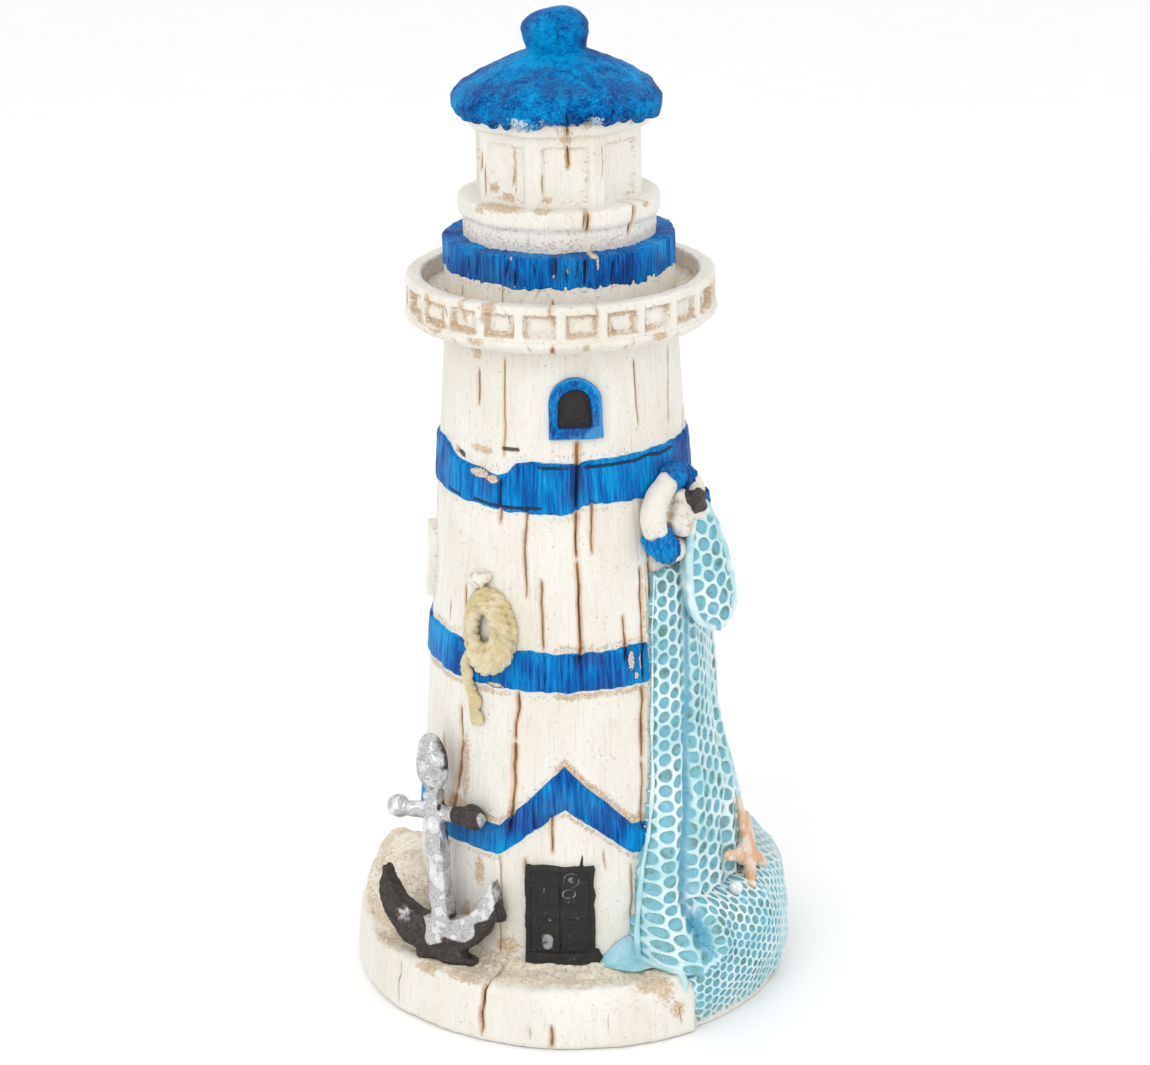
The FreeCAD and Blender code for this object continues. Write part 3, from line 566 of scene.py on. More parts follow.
def make_silver(name):
    """Silver paint with a black-brown wash in the hollows, and painted shade on faces turned away from the front and on
    right-facing faces.
    """
    f = Finish(name)
    broad = f.noise(0.32, 4.0, 0.65)
    middle = f.noise(0.42, 2.0, 0.5)
    fine = f.noise(1.5, 4.0, 0.7)
    pit = f.marked("pit")
    tone = f.ramp(
        middle * 0.92 + fine * 0.08,
        (0.30, (0.36, 0.35, 0.35)),
        (0.44, (0.54, 0.54, 0.54)),
        (0.56, (0.66, 0.66, 0.67)),
        (0.70, (0.80, 0.80, 0.81)),
    )
    dark = f.ramp(fine, (0.34, (0.010, 0.008, 0.007)), (0.6, (0.040, 0.028, 0.022)), (0.78, (0.12, 0.10, 0.085)))
    # Dark where the mark says so: black-brown wash in creases and patches, and painted shade on faces turned away and
    # to the right.
    mask = f.step(pit + (broad - 0.5) * 0.75 + (fine - 0.5) * 0.16, 0.44, 0.60)
    colour = f.blend(mask, tone, dark)
    crease = f.step(abs(f.noise(0.42, 3.0, 0.6) - 0.5), 0.022, 0.006)
    colour = f.blend(crease * 0.35, colour, (0.14, 0.11, 0.09))
    brown = f.step(f.noise(0.5, 3.0, 0.6), 0.60, 0.72)
    colour = f.blend(brown * 0.30, colour, (0.24, 0.15, 0.09))
    height = middle * 0.5 + fine * 0.06 + broad * 0.3 - mask * 0.2 - crease * 0.15
    rough = 0.22 + mask * 0.25 + fine * 0.12
    metal = 0.55 - mask * 0.5
    return f.close(colour, rough, height, 0.45, Metallic=metal, Specular_IOR_Level=0.5)


def make_net(name):
    """Aqua netting: near-white strands over teal hollows, with brown wash in some."""
    f = Finish(name)
    broad = f.noise(0.12, 3.0, 0.6)
    fine = f.noise(2.2, 4.0, 0.75)
    sink = f.marked("sink")
    strand = f.ramp(broad * 0.6 + fine * 0.4, (0.38, (0.38, 0.64, 0.68)), (0.48, (0.54, 0.76, 0.79)), (0.60, (0.80, 0.86, 0.86)))
    hollow = f.ramp(
        f.noise(0.30, 4.0, 0.75),
        (0.36, (0.15, 0.27, 0.25)),
        (0.43, (0.18, 0.39, 0.41)),
        (0.50, (0.22, 0.50, 0.56)),
        (0.57, (0.19, 0.48, 0.62)),
        (0.66, (0.36, 0.60, 0.66)),
        (0.75, (0.38, 0.42, 0.36)),
    )
    colour = f.blend(f.step(sink + (fine - 0.5) * 0.4, 0.14, 0.52), strand, hollow)
    smooth = f.step(f.marked("fold") + (fine - 0.5) * 0.3, 0.2, 0.75)
    aqua = f.ramp(f.noise(0.22, 3.0, 0.6), (0.35, (0.20, 0.50, 0.60)), (0.52, (0.34, 0.64, 0.71)), (0.68, (0.52, 0.74, 0.77)))
    colour = f.blend(smooth * 0.9, colour, aqua)
    blue = f.step(f.marked("deep") + (fine - 0.5) * 0.3, 0.3, 0.8)
    colour = f.blend(blue * 0.7, colour, (0.08, 0.34, 0.50))
    haze = f.step(f.marked("haze") + (fine - 0.5) * 0.9, 0.35, 0.95)
    colour = f.blend(haze * 0.6, colour, (0.52, 0.60, 0.61))
    brown = f.step(f.noise(0.13, 4.0, 0.7), 0.58, 0.72) * f.step(sink, 0.2, 0.8)
    colour = f.blend(brown * 0.6, colour, (0.27, 0.25, 0.17))
    rust = f.step(f.noise(0.21, 4.0, 0.75), 0.685, 0.73)
    colour = f.blend(rust * 0.6, colour, (0.42, 0.30, 0.19))
    height = fine * 0.5 + f.noise(6.0, 2.0) * 0.2
    return f.close(colour, 0.30 + fine * 0.25, height, 0.14, Specular_IOR_Level=0.35)


def make_rope(name):
    """Straw rope with green and rust tints, darker between the strands: brown painted shade there, on faces turned to
    the wall and close to it.
    """
    f = Finish(name)
    fine = f.noise(2.2, 4.0, 0.7)
    # Brown painted shade between the strands, on faces turned to the wall and close to it.
    crease = f.step(f.marked("sink") + (fine - 0.5) * 0.5, 0.30, 0.85)
    colour = f.blend(f.step(f.noise(0.35, 3.0), 0.4, 0.65), (0.63, 0.52, 0.28), (0.73, 0.65, 0.45))
    colour = f.blend(crease * 0.8, colour, (0.33, 0.21, 0.09))
    green = f.step(f.noise(0.22, 3.0, 0.6), 0.55, 0.68)
    colour = f.blend(green * 0.6, colour, (0.40, 0.53, 0.44))
    rust = f.step(f.noise(0.6, 4.0, 0.7), 0.62, 0.72)
    colour = f.blend(rust * 0.6, colour, (0.52, 0.28, 0.11))
    pale = f.step(f.noise(0.8, 4.0, 0.7), 0.60, 0.72)
    colour = f.blend(pale * 0.5, colour, (0.82, 0.78, 0.66))
    return f.close(colour, 0.5 + fine * 0.2, fine, 0.22, Specular_IOR_Level=0.25)


def make_star(name):
    f = Finish(name)
    fine = f.noise(2.0, 4.0, 0.75)
    patch = f.step(f.noise(0.30, 3.0), 0.40, 0.62)
    colour = f.blend(patch, (0.78, 0.66, 0.54), (0.72, 0.40, 0.22))
    colour = f.blend(f.step(f.marked("sink") + (fine - 0.5) * 0.5, 0.6, 0.2) * 0.65, colour, (0.88, 0.84, 0.76))
    return f.close(colour, 0.5 + fine * 0.2, fine, 0.2, Specular_IOR_Level=0.4)


def make_plain(name, light, dark, scale, depth, own_places=True, **uniform):
    """A quiet two-tone finish with a fine bump."""
    f = Finish(name, own_places)
    fine = f.noise(scale, 4.0, 0.7)
    colour = f.blend(f.step(fine + (f.noise(scale * 0.2, 3.0) - 0.5) * 0.7, 0.35, 0.65), dark, light)
    rough = uniform.pop("rough", 0.55)
    return f.close(colour, rough + fine * 0.2, fine, depth, **uniform)


cream = make_cream("cream_planks")
cream_base = make_cream("cream_base", grit=1.0)
cream_trim = make_cream("cream_trim", grain=0.7)
blue = make_blue("brushed_blue")
blue_roof = make_roof_blue("stippled_blue")
black = make_black("rubbed_black")
silver = make_silver("washed_silver")
net_paint = make_net("netting")
rope_paint = make_rope("straw_rope")
star_paint = make_star("starfish_skin")
pearl_paint = make_plain("pearl", (0.86, 0.87, 0.88), (0.62, 0.66, 0.68), 0.9, 0.05, rough=0.12, Coat_Weight=0.5)
peg_paint = make_plain("stained_peg", (0.075, 0.055, 0.045), (0.02, 0.014, 0.012), 1.6, 0.2, rough=0.4)
felt = make_plain("pale_felt", (0.84, 0.84, 0.82), (0.66, 0.66, 0.64), 3.0, 0.3, own_places=False, rough=0.75)


# ---------------------------------------------------------------- planks, cracks and worn patches
# A crack: azimuth and height of its top, azimuth and height of its foot, half width, depth, strength of its wash.
CRACKS = [
    (5.6, 100.0, 4.4, 88.4, 0.42, 0.75, 1.0),
    (4.4, 88.6, 5.3, 80.0, 0.40, 0.7, 1.0),
    (5.3, 80.2, 4.7, 62.6, 0.42, 0.7, 1.0),
    (-20.0, 57.8, -21.2, 48.8, 0.34, 0.5, 1.0),
    (-21.2, 49.2, -22.5, 33.0, 0.50, 0.7, 1.0),
    (-48.3, 53.0, -47.3, 46.6, 0.40, 0.4, 0.8),
    (-47.3, 47.0, -50.0, 37.0, 0.60, 0.6, 0.9),
    (-49.5, 37.4, -53.0, 31.4, 0.65, 0.6, 0.9),
    (41.1, 90.5, 40.0, 78.0, 0.40, 0.6, 1.0),
    (40.0, 78.4, 38.6, 63.8, 0.48, 0.7, 1.0),
    (32.4, 57.6, 30.6, 44.5, 0.42, 0.5, 0.95),
    (30.6, 44.8, 29.1, 32.2, 0.36, 0.45, 0.7),
    (-44.0, 110.5, -44.0, 104.0, 0.30, 0.35, 0.8),
    (-28.0, 113.0, -28.4, 96.5, 0.24, 0.3, 0.65),
    (37.5, 112.0, 37.5, 100.5, 0.24, 0.3, 0.6),
    (64.5, 112.0, 58.8, 99.5, 0.30, 0.4, 0.85),
    (79.0, 100.5, 73.5, 94.6, 0.30, 0.4, 0.8),
    (-17.5, 89.1, -17.6, 73.2, 0.28, 0.4, 0.75),
    (-11.0, 77.0, -11.0, 64.5, 0.28, 0.4, 0.85),
    (11.5, 90.0, 12.2, 80.6, 0.36, 0.5, 0.85),
    (-29.7, 93.5, -29.8, 85.3, 0.38, 0.5, 0.8),
    (24.0, 70.2, 24.0, 61.9, 0.32, 0.4, 0.9),
    (34.2, 77.6, 31.8, 58.5, 0.34, 0.45, 0.95),
    (-6.3, 37.0, -6.3, 29.4, 0.36, 0.4, 0.85),
    (-27.2, 28.8, -27.4, 10.8, 0.24, 0.28, 0.5),
    (23.8, 27.0, 22.4, 12.6, 0.26, 0.3, 0.6),
    (34.2, 20.5, 33.8, 13.8, 0.40, 0.4, 0.8),
    (-9.6, 64.4, -9.6, 57.6, 0.22, 0.3, 0.2),
    (16.0, 64.4, 16.4, 57.8, 0.20, 0.25, 0.2),
    (-13.0, 38.5, -13.0, 33.0, 0.22, 0.3, 0.2),
    (5.0, 39.5, 5.2, 34.6, 0.20, 0.25, 0.2),
    (-16.8, 28.8, -16.9, 24.0, 0.34, 0.3, 0.7),
    (13.5, 30.2, 13.5, 26.0, 0.22, 0.25, 0.4),
    (-60.0, 70.0, -60.5, 66.0, 0.22, 0.3, 0.7),
    (-49.0, 74.0, -49.0, 68.5, 0.22, 0.3, 0.7),
]
# A ring groove: azimuths of its two ends, heights there, half width, depth.
RING_GROOVES = [
    (-13.0, 3.5, 95.5, 95.3, 0.26, 0.35),
    (6.5, 62.0, 95.4, 95.6, 0.30, 0.40),
    (-62.0, -52.0, 89.0, 88.7, 0.30, 0.35),
    (-46.0, -8.0, 88.75, 88.55, 0.30, 0.40),
    (-57.0, -51.0, 95.6, 95.2, 0.55, 0.8),
    (-29.0, -19.5, 97.9, 98.4, 0.42, 0.6),
]


def level_noise(at, size, seed):
    """Smooth ups and downs along one line."""
    values = np.random.default_rng(seed).uniform(-1, 1, 512)
    q = np.asarray(at) / size + 256
    cell = np.floor(q).astype(int)
    f = q - cell
    f = f * f * (3 - 2 * f)
    return values[cell % 512] * (1 - f) + values[(cell + 1) % 512] * f


def carve(piece, cracks, seams=(), seam_depth=0.10, worn=None, rings=()):
    """Cuts cracks, ring grooves and plank seams into a turned piece, and marks where the dark wash lies."""
    co = points(piece)
    azimuth, radius, z = polar(co)
    side = np.full(len(co), 9.0)
    near = np.zeros(len(co))
    cut = np.zeros(len(co))
    groove = np.zeros(len(co))

    def add(here, across, ends, half, depth, wash):
        cut[here] = np.maximum(cut[here], depth * ends * np.exp(-((across / half) ** 2)))
        closer = (np.abs(across) < np.abs(side[here])) & (ends > 0.02)
        side[here] = np.where(closer, across * 0.42 / half, side[here])
        near[here] = np.where(closer, ends * wash, near[here])

    for k, (top_azimuth, top, foot_azimuth, foot, half, depth, wash) in enumerate(cracks):
        here = (z > foot - 0.6) & (z < top + 0.6) & (np.abs(apart(azimuth, (foot_azimuth + top_azimuth) / 2)) < 14)
        a, r, h = azimuth[here], radius[here], z[here]
        centre = foot_azimuth + (top_azimuth - foot_azimuth) * (h - foot) / (top - foot)
        sway = 0.22 * level_noise(h, 2.6, 11) + 0.45 * level_noise(h, 10.0, 51)
        thin = 0.65 + 0.5 * np.abs(level_noise(h, 4.0, 31 + k))
        ends = ease(foot - 0.4, foot + 1.2, h) * ease(top + 0.4, top - 1.2, h)
        add(here, (np.radians(apart(a, centre)) * r - sway) / thin, ends, half, depth, wash)
    for k, (left, right, left_z, right_z, half, depth) in enumerate(rings):
        here = (azimuth > left - 1) & (azimuth < right + 1)
        share = (azimuth[here] - left) / (right - left)
        line = left_z + (right_z - left_z) * share + 0.2 * level_noise(azimuth[here], 7.0, 71 + k)
        line = np.exp(-(((z[here] - line) / half) ** 2)) * ease(-0.02, 0.10, share) * ease(1.02, 0.90, share)
        cut[here] = np.maximum(cut[here], depth * line)
        groove[here] = np.maximum(groove[here], line)
    for k, centre in enumerate(seams):
        here = np.abs(apart(azimuth, centre)) < 6
        across = np.radians(apart(azimuth[here], centre)) * radius[here] - 0.35 * level_noise(z[here], 9.0, 90 + k)
        fade = 0.5 + 0.5 * level_noise(z[here], 8.0, 140 + k)
        cut[here] = np.maximum(cut[here], seam_depth * fade * np.exp(-((across / 0.30) ** 2)))
    crumble = 0 if worn is None else 0.17 * ease(0.35, 0.75, worn) * lumps(co, 0.95, 29)
    push(piece, crumble - cut)
    mark(piece, "crack_side", np.clip(side, -9, 9))
    mark(piece, "crack_near", near * ease(1.5, 0.95, np.abs(side)))
    mark(piece, "groove", groove)
    mark(piece, "worn", np.zeros(len(co)) if worn is None else worn)
    return piece


def spots(co, places):
    """A soft mask from a list of (azimuth, height, half width in degrees, half height)."""
    azimuth, radius, z = polar(co)
    total = np.zeros(len(co))
    for centre, level, wide, tall in places:
        away = np.hypot(apart(azimuth, centre) / wide, (z - level) / tall)
        total = np.maximum(total, ease(1.6, 0.3, away))
    return total


def random_seams(seed, gap):
    dice = np.random.default_rng(seed)
    out, at = [], -180.0
    while at < 180:
        out.append(at)
        at += gap * dice.uniform(0.55, 1.5)
    return out


def random_cracks(seed, count, azimuths, low, high, half, depth, wash, longest=0.45):
    dice = np.random.default_rng(seed)
    out = []
    for _ in range(count):
        at = dice.uniform(*azimuths)
        length = dice.uniform(0.25 * longest, longest) * (high - low)
        foot = dice.uniform(low, high - length)
        strength = dice.uniform(0.6, 1.0)
        lean = dice.uniform(-1, 1)
        out.append((at + lean, foot + length, at - lean, foot, half * strength, depth * strength, wash * strength))
    return out


BACK_CRACKS = random_cracks(5, 16, (122, 285), 12, 112, 0.42, 0.6, 1.0, 0.3)
BACK_CRACKS += random_cracks(6, 26, (122, 285), 12, 112, 0.26, 0.3, 0.7, 0.16)
TOWER_CRACKS = CRACKS + BACK_CRACKS


def table(azimuth, *stops):
    """A height that changes round the tower, read off (azimuth, height) stops."""
    at = np.array(stops, float)
    return np.interp(apart(azimuth, 0), at[:, 0], at[:, 1])


def ragged(azimuth, seed, much):
    return much * (level_noise(azimuth, 5.0, seed) + 0.6 * level_noise(azimuth, 2.1, seed + 1))


GABLE_AT = -1.5
GABLE_HALF = 11.4
GABLE_RISE = 9.7
GABLE_LOW = GABLE[0].z
GABLE_HIGH = GABLE_LOW + 5.4


def gable_shape(azimuth):
    arc = np.radians(apart(azimuth, GABLE_AT)) * 25.0
    return np.clip(1 - np.abs(arc) / GABLE_HALF, 0, 1)


def gable_edges(azimuth):
    peak = gable_shape(azimuth)
    low = GABLE_LOW + (GABLE_RISE - 0.6) * peak + ragged(azimuth, 301, 0.16)
    high = GABLE_HIGH + (GABLE[1].z - GABLE_HIGH) * peak + ragged(azimuth, 311, 0.14)
    return low, high


def upper_edges(azimuth):
    low = table(azimuth, (-180, 88.2), (-62, 88.0), (-40, 88.0), (-20, 87.7), (-4, 87.5), (4, 87.8), (6.5, 88.2), (8, 88.9),
                (16, 89.0), (30, 88.9), (52, 88.4), (180, 88.2)) + ragged(azimuth, 321, 0.14)
    high = table(azimuth, (-180, 96.4), (-74, 96.4), (-66, 96.1), (-58, 94.9), (-50, 94.6), (-38, 94.0), (-31, 93.5),
                 (-26, 94.3), (-22, 95.9), (-14, 96.2), (0, 96.1), (20, 96.5), (60, 96.5), (180, 96.4))
    return low, high + ragged(azimuth, 331, 0.14)


def middle_edges(azimuth):
    low = MIDDLE[0].z + ragged(azimuth, 341, 0.2)
    high = MIDDLE[1].z + table(azimuth, (-180, 0), (-20, 0.1), (-16, 0.25), (4, -0.1), (24, 0.2), (34, 0.4), (180, 0))
    return low, high + ragged(azimuth, 351, 0.2)


# ---------------------------------------------------------------- turned pieces
def round_profile(corners, step=0.5, round_off=0.6):
    """Axis to axis, so that the turned piece is closed."""
    body = soft_line(corners, step, round_off)
    return [(0, body[0][1]), *map(tuple, body), (0, body[-1][1])]


def ring_profile(corners, step=0.5, round_off=0.6):
    body = soft_line(corners, step, round_off)
    return [*map(tuple, body), tuple(body[0])]


def tower_wall():
    foot, top = BASE_TOP - 0.5, TOWER_TOP + 0.1
    piece = lathe("tower_wall", round_profile([(tower_radius(foot), foot), (tower_radius(top), top)], 0.5), 440)
    co = points(piece)
    azimuth, radius, z = polar(co)
    wall = ease(1, 15, radius)
    facets = 0.16 * np.cos(np.radians(azimuth * 13 + 20 * level_noise(z, 30, 3)))
    skin = 0.22 * lumps(co, (7, 7, 22), 21) + 0.05 * lumps(co, (0.9, 0.9, 12), 22) + 0.05 * lumps(co, 1.6, 23)
    shoulder = 0.45 * spots(co, [(-40, 97.2, 16, 1.8), (-24, 98.0, 9, 1.5)])
    flare = 0.5 * ease(BASE_TOP + 2.2, BASE_TOP, z)
    radius = radius + wall * (facets + skin + shoulder + flare)
    put(piece, unpolar(azimuth, radius, z))
    place_mark(piece, along_tower(points(piece)))
    wash = np.zeros(len(co))
    for edges, above, below in ((gable_edges, 1.0, 0.55), (upper_edges, 0.25, 0.3), (middle_edges, 0.5, 0.85)):
        low, high = edges(azimuth)
        wash = np.maximum(wash, above * np.exp(-(((z - high - 0.7) / 0.75) ** 2)))
        wash = np.maximum(wash, below * np.exp(-(((z - low + 0.8) / 0.5) ** 2)))
    wash *= 0.62 + 0.5 * level_noise(azimuth, 9, 401)
    # Darker just under the gallery and just above the base.
    wash = np.maximum(wash, 0.42 * ease(TOWER_TOP - 2.0, TOWER_TOP, z) * (0.6 + level_noise(azimuth, 6, 402)))
    wash = np.maximum(wash, 0.55 * ease(BASE_TOP + 1.6, BASE_TOP, z))
    wash = np.maximum(wash, 0.75 * spots(co, [(-45, 112.8, 3, 1.2), (-50, 34.8, 7, 2.0), (-41, 93.6, 5, 0.8), (-56, 96.0, 3, 0.8),
                                                (-45, 42.0, 1.8, 6.0), (-37, 24.5, 2.2, 2.6), (-43, 15.0, 3.0, 3.0), (-24, 12.6, 5.0, 1.6),
                                                (-60, 44.0, 2.0, 3.0), (-39, 97.4, 7, 0.7)]))
    # A darker strip up the wall where the net's left edge lies, below its top.
    behind_net = 0.3 * ease(5, 0, np.abs(apart(azimuth, 36))) * ease(82, 74, z)
    carve(piece, TOWER_CRACKS, random_seams(7, 8.0), 0.13, np.maximum(wash, behind_net), RING_GROOVES)
    return finished(piece, cream, "cream_resin", "tower")


def painted_band(name, edges, rows, node):
    """A painted strip that follows the tower's wall between two uneven edges."""
    deep, proud = -0.7, BAND_PROUD
    middle = (rows - 1) // 2
    across = [(20 + deep, 0.0)] + [(20 + proud, 10 * k / rows) for k in range(rows + 1)] + [(20 + deep, 10.0), (20 + deep, 0.0)]
    piece = lathe(name, across, 480)
    azimuth, radius, z = polar(points(piece))
    share, out = z / 10, radius - 20
    low, high = edges(azimuth)
    height = low + share * (high - low)
    from_edge = np.minimum(share, 1 - share) * (high - low)
    rounding = np.where(out > 0, 0.42 * np.exp(-((from_edge / 0.28) ** 2)), 0)
    under_net = np.where(out > 0, 1.0, 0) * ease(34, 39, apart(azimuth, 0)) * ease(119, 114, apart(azimuth, 0))
    under_net = under_net if node != "upper_band" else 0
    radius = tower_radius(height) + out - rounding - under_net * 1.1
    co = unpolar(azimuth, radius, height)
    facets = 0.16 * np.cos(np.radians(azimuth * 13 + 20 * level_noise(height, 30, 3)))
    skin = 0.22 * lumps(co, (7, 7, 22), 21) + 0.05 * lumps(co, (0.9, 0.9, 12), 22) + 0.06 * lumps(co, 1.3, 24)
    put(piece, unpolar(azimuth, radius + facets + skin, height))
    place_mark(piece, along_tower(points(piece)))
    mark(piece, "edge", np.exp(-((from_edge / 0.30) ** 2)))
    return piece, azimuth, height


def upper_stripe():
    piece, azimuth, z = painted_band("upper_stripe", upper_edges, 22, "upper_band")
    worn = 0.9 * spots(points(piece), [(-41, 93.3, 6, 0.8), (-33, 92.8, 4, 0.7)])
    carve(piece, TOWER_CRACKS, random_seams(7, 8.0), 0.15, worn, RING_GROOVES)
    return finished(piece, blue, "blue_paint", "upper_band")


def middle_stripe():
    piece, azimuth, z = painted_band("middle_stripe", middle_edges, 18, "middle_band")
    worn = 0.75 * spots(points(piece), [(27, 62.3, 1.6, 2.2), (31.5, 61.8, 1.2, 1.8), (29, 59.6, 1.2, 0.8), (-30, 58.2, 5, 0.6)])
    carve(piece, TOWER_CRACKS, random_seams(7, 8.0), 0.15, worn)
    return finished(piece, blue, "blue_paint", "middle_band")


def gable_stripe():
    piece, azimuth, z = painted_band("gable_stripe", gable_edges, 16, "gable_band")
    worn = 0.6 * spots(points(piece), [(30, 33.0, 2.0, 0.5), (33, 31.5, 1.5, 0.8)])
    carve(piece, TOWER_CRACKS, random_seams(7, 8.0), 0.15, worn)
    return finished(piece, blue, "blue_paint", "gable_band")


BASE_CRACKS = [
    (-23.5, 11.0, -23.6, 1.0, 0.42, 0.8, 1.0),
    (-5.0, 5.0, -5.0, 0.4, 0.34, 0.6, 0.95),
    (-51.0, 9.6, -51.4, 1.7, 0.20, 0.3, 0.55),
    (28.0, 6.5, 28.0, 2.3, 0.20, 0.3, 0.5),
    (-10.5, 4.6, -10.7, 1.8, 0.26, 0.4, 0.4),
    (9.0, 7.0, 9.2, 3.0, 0.14, 0.2, 0.3),
] + random_cracks(15, 12, (125, 280), 1, 10, 0.36, 0.6, 0.95, 0.9)


def plank_base():
    low, high = 0.15, BASE_TOP
    piece = lathe("plank_base", round_profile([(BASE_R + 0.1, low), (BASE_R + 0.7, low + 0.6), (BASE_R + 0.7, low + 3.4),
                                               (BASE_R + 0.1, high), (BASE_R - 13, high)], 0.5, 1.1), 480)
    co = points(piece)
    azimuth, radius, z = polar(co)
    outer = ease(BASE_R - 6, BASE_R - 0.5, radius)
    bulge = 1.15 * ease(75, 0, np.abs(apart(azimuth, 34))) * ease(0, 1, outer) * ease(11, 7, z)
    skin = 0.40 * lumps(co, (11, 11, 40), 31) + 0.14 * lumps(co, (2.6, 2.6, 9), 32) + 0.07 * lumps(co, (1.1, 1.1, 5), 33)
    chips = -0.5 * ease(0.35, 0.8, lumps(co, (3.0, 3.0, 2.2), 34)) * ease(high - 1.6, high, z)
    radius = radius + outer * (bulge + skin + chips)
    under_net = ease(30, 34, azimuth) * ease(122, 118, azimuth)
    radius = np.minimum(radius, BASE_R + 0.1 + 3 * (1 - under_net))
    top = ease(high - 1.0, high - 0.1, z)
    dish = -0.25 * ease(BASE_R - 2, BASE_R - 5, radius)
    grit = 0.30 * lumps(co, 3.2, 35) + 0.22 * lumps(co, 1.3, 36) + 0.12 * lumps(co, 0.7, 37)
    rise = 0.9 * ease(FOOT_R + 3.0, FOOT_R, radius)
    put(piece, unpolar(azimuth, radius, z + top * (dish + grit + rise)))
    # A little darker over the base's top away from its rim, and darker close to the tower's foot.
    wash = 0.20 * top * ease(BASE_R - 1.0, BASE_R - 3.0, radius)
    wash = np.maximum(wash, 0.7 * spots(points(piece), [(24, 9.5, 2.6, 2.4), (27, 5.5, 2.0, 1.6), (-42, 9.9, 4, 0.8), (20, 9.8, 4, 0.7), (-30, 10.4, 6, 0.7), (-62, 10.4, 5, 0.7)]))
    wash = np.maximum(wash, 0.5 * ease(FOOT_R + 2.2, FOOT_R, radius) * top)
    carve(piece, BASE_CRACKS, random_seams(17, 5.5), 0.14, wash)
    mark(piece, "grit", top * ease(BASE_R - 0.6, BASE_R - 2.2, radius))
    return finished(piece, cream_base, "cream_resin", "base", "door_step")


def gallery_rim():
    """The gallery's deck lip and trough floor."""
    low, lip, floor = TOWER_TOP, PARAPET[0].z, DECK[1].z
    outer = DECK[1].x
    piece = lathe("gallery_deck_cast", round_profile([(outer - 4.2, low), (outer - 1.6, low + 0.15), (outer, low + 1.5), (outer, lip + 0.1),
                                                      (outer - 2.0, lip + 0.3), (outer - 2.2, floor - 0.2), (outer - 8, floor)], 0.42, 0.8), 440)
    co = points(piece)
    azimuth, radius, z = polar(co)
    out = ease(15, 22, radius)
    skin = 0.20 * lumps(co, (8, 8, 30), 41) + 0.10 * lumps(co, (2.2, 2.2, 3), 42) + 0.05 * lumps(co, 0.9, 43)
    put(piece, unpolar(azimuth, radius + out * skin, z + 0.12 * out * lumps(co, (4, 4, 9), 44)))
    # Darker on the trough floor inside the parapet.
    wash = 0.36 * ease(floor - 0.8, floor - 0.2, z)
    wash = np.maximum(wash, 0.8 * spots(points(piece), [(-32, 117.0, 3.5, 0.7), (-52, 117.4, 4, 0.8), (-3, 115.6, 1.0, 0.8), (9, 116.4, 1.2, 0.7),
                                                        (38, 117.0, 3.5, 1.0), (24, 115.8, 0.8, 0.7)]))
    cracks = [(-3.0, 117.2, -3.0, 114.9, 0.3, 0.4, 0.9)] + random_cracks(45, 18, (-180, 180), 114.9, 117.4, 0.22, 0.25, 0.7, 0.8)
    carve(piece, cracks, random_seams(47, 9), 0.1, wash)
    return finished(piece, cream_trim, "cream_resin", "gallery_deck")


PANEL_PITCH = 15.0
PANEL_HALF = 5.75


def gallery_wall():
    """The gallery's parapet, with its sunk panels."""
    low, high, outer = PARAPET[0].z, PARAPET[1].z, PARAPET[1].x
    inner = outer - 2.7
    piece = lathe("gallery_parapet_cast", ring_profile([(inner, low - 0.4), (outer, low - 0.4), (outer, high), (inner, high), (inner, low - 0.2)], 0.36, 0.55), 600)
    co = points(piece)
    azimuth, radius, z = polar(co)
    wobble = 0.5 * level_noise(azimuth, 6, 61) + 0.25 * lumps(co, 1.5, 62)
    in_panel = (azimuth - PANEL_PITCH / 2 + PANEL_PITCH * 40) % PANEL_PITCH
    in_panel = np.minimum(in_panel, PANEL_PITCH - in_panel)
    face = (radius > outer - 0.6) & (z > low + 0.2) & (z < high - 0.5)
    side = (PANEL_HALF - in_panel) * 0.44 + 0.12 * wobble
    above = z - (low + 0.85)
    under = (high - 1.35) - z
    depth_in = np.minimum(np.minimum(side, above), under) + 0.10 * wobble
    sunk = np.where(face, ease(-0.12, 0.42, depth_in), 0)
    pillow = 0.30 * sunk * ease(0.2, 1.6, depth_in)
    skin = 0.20 * lumps(co, (8, 8, 30), 41) + 0.08 * lumps(co, (2.2, 2.2, 3), 63) + 0.05 * lumps(co, 0.9, 64)
    melt = 0.75 * spots(co, [(-53, 120.0, 8, 1.6)])
    put(piece, unpolar(azimuth, radius - 1.15 * sunk * (1 - melt) + pillow + skin, z + 0.10 * lumps(co, (5, 5, 9), 65)))
    # Brown painted shade along the sunk panels' edges, fuller left of the door, and on the parapet's inner face; a
    # light stain on the top edge, and the listed spots.
    corner = np.where(face, np.exp(-(((depth_in - 0.32) / 0.46) ** 2)), 0)
    left_side = np.where(apart(azimuth, 0) < 8, 1, 0.8)
    wash = corner * (0.66 + 0.50 * lumps(co, (3, 3, 2.4), 66)) * left_side
    inside = 0.36 * ease(inner + 0.9, inner + 0.2, radius)
    top = 0.16 * ease(high - 0.4, high, z)
    wash = np.maximum(np.maximum(wash, inside), top)
    wash = np.maximum(wash, 0.85 * spots(co, [(-56.5, 121.6, 2.0, 1.4), (-26.5, 122.4, 3.0, 1.0), (-28, 121.0, 1.8, 1.0), (-38, 121.5, 1.6, 2.2),
                                              (-63, 119, 2.5, 2.2), (66, 119.5, 3, 1.5), (-50, 118.4, 6, 0.8), (74, 120, 2, 2)]))
    cracks = [(-3.2, 123.4, -3.2, 121.6, 0.28, 0.3, 0.8)] + random_cracks(67, 22, (-180, 180), 117.3, 123.3, 0.22, 0.25, 0.6, 0.5)
    carve(piece, cracks, random_seams(69, 7), 0.08, wash)
    return finished(piece, cream_trim, "cream_resin", "gallery_parapet")


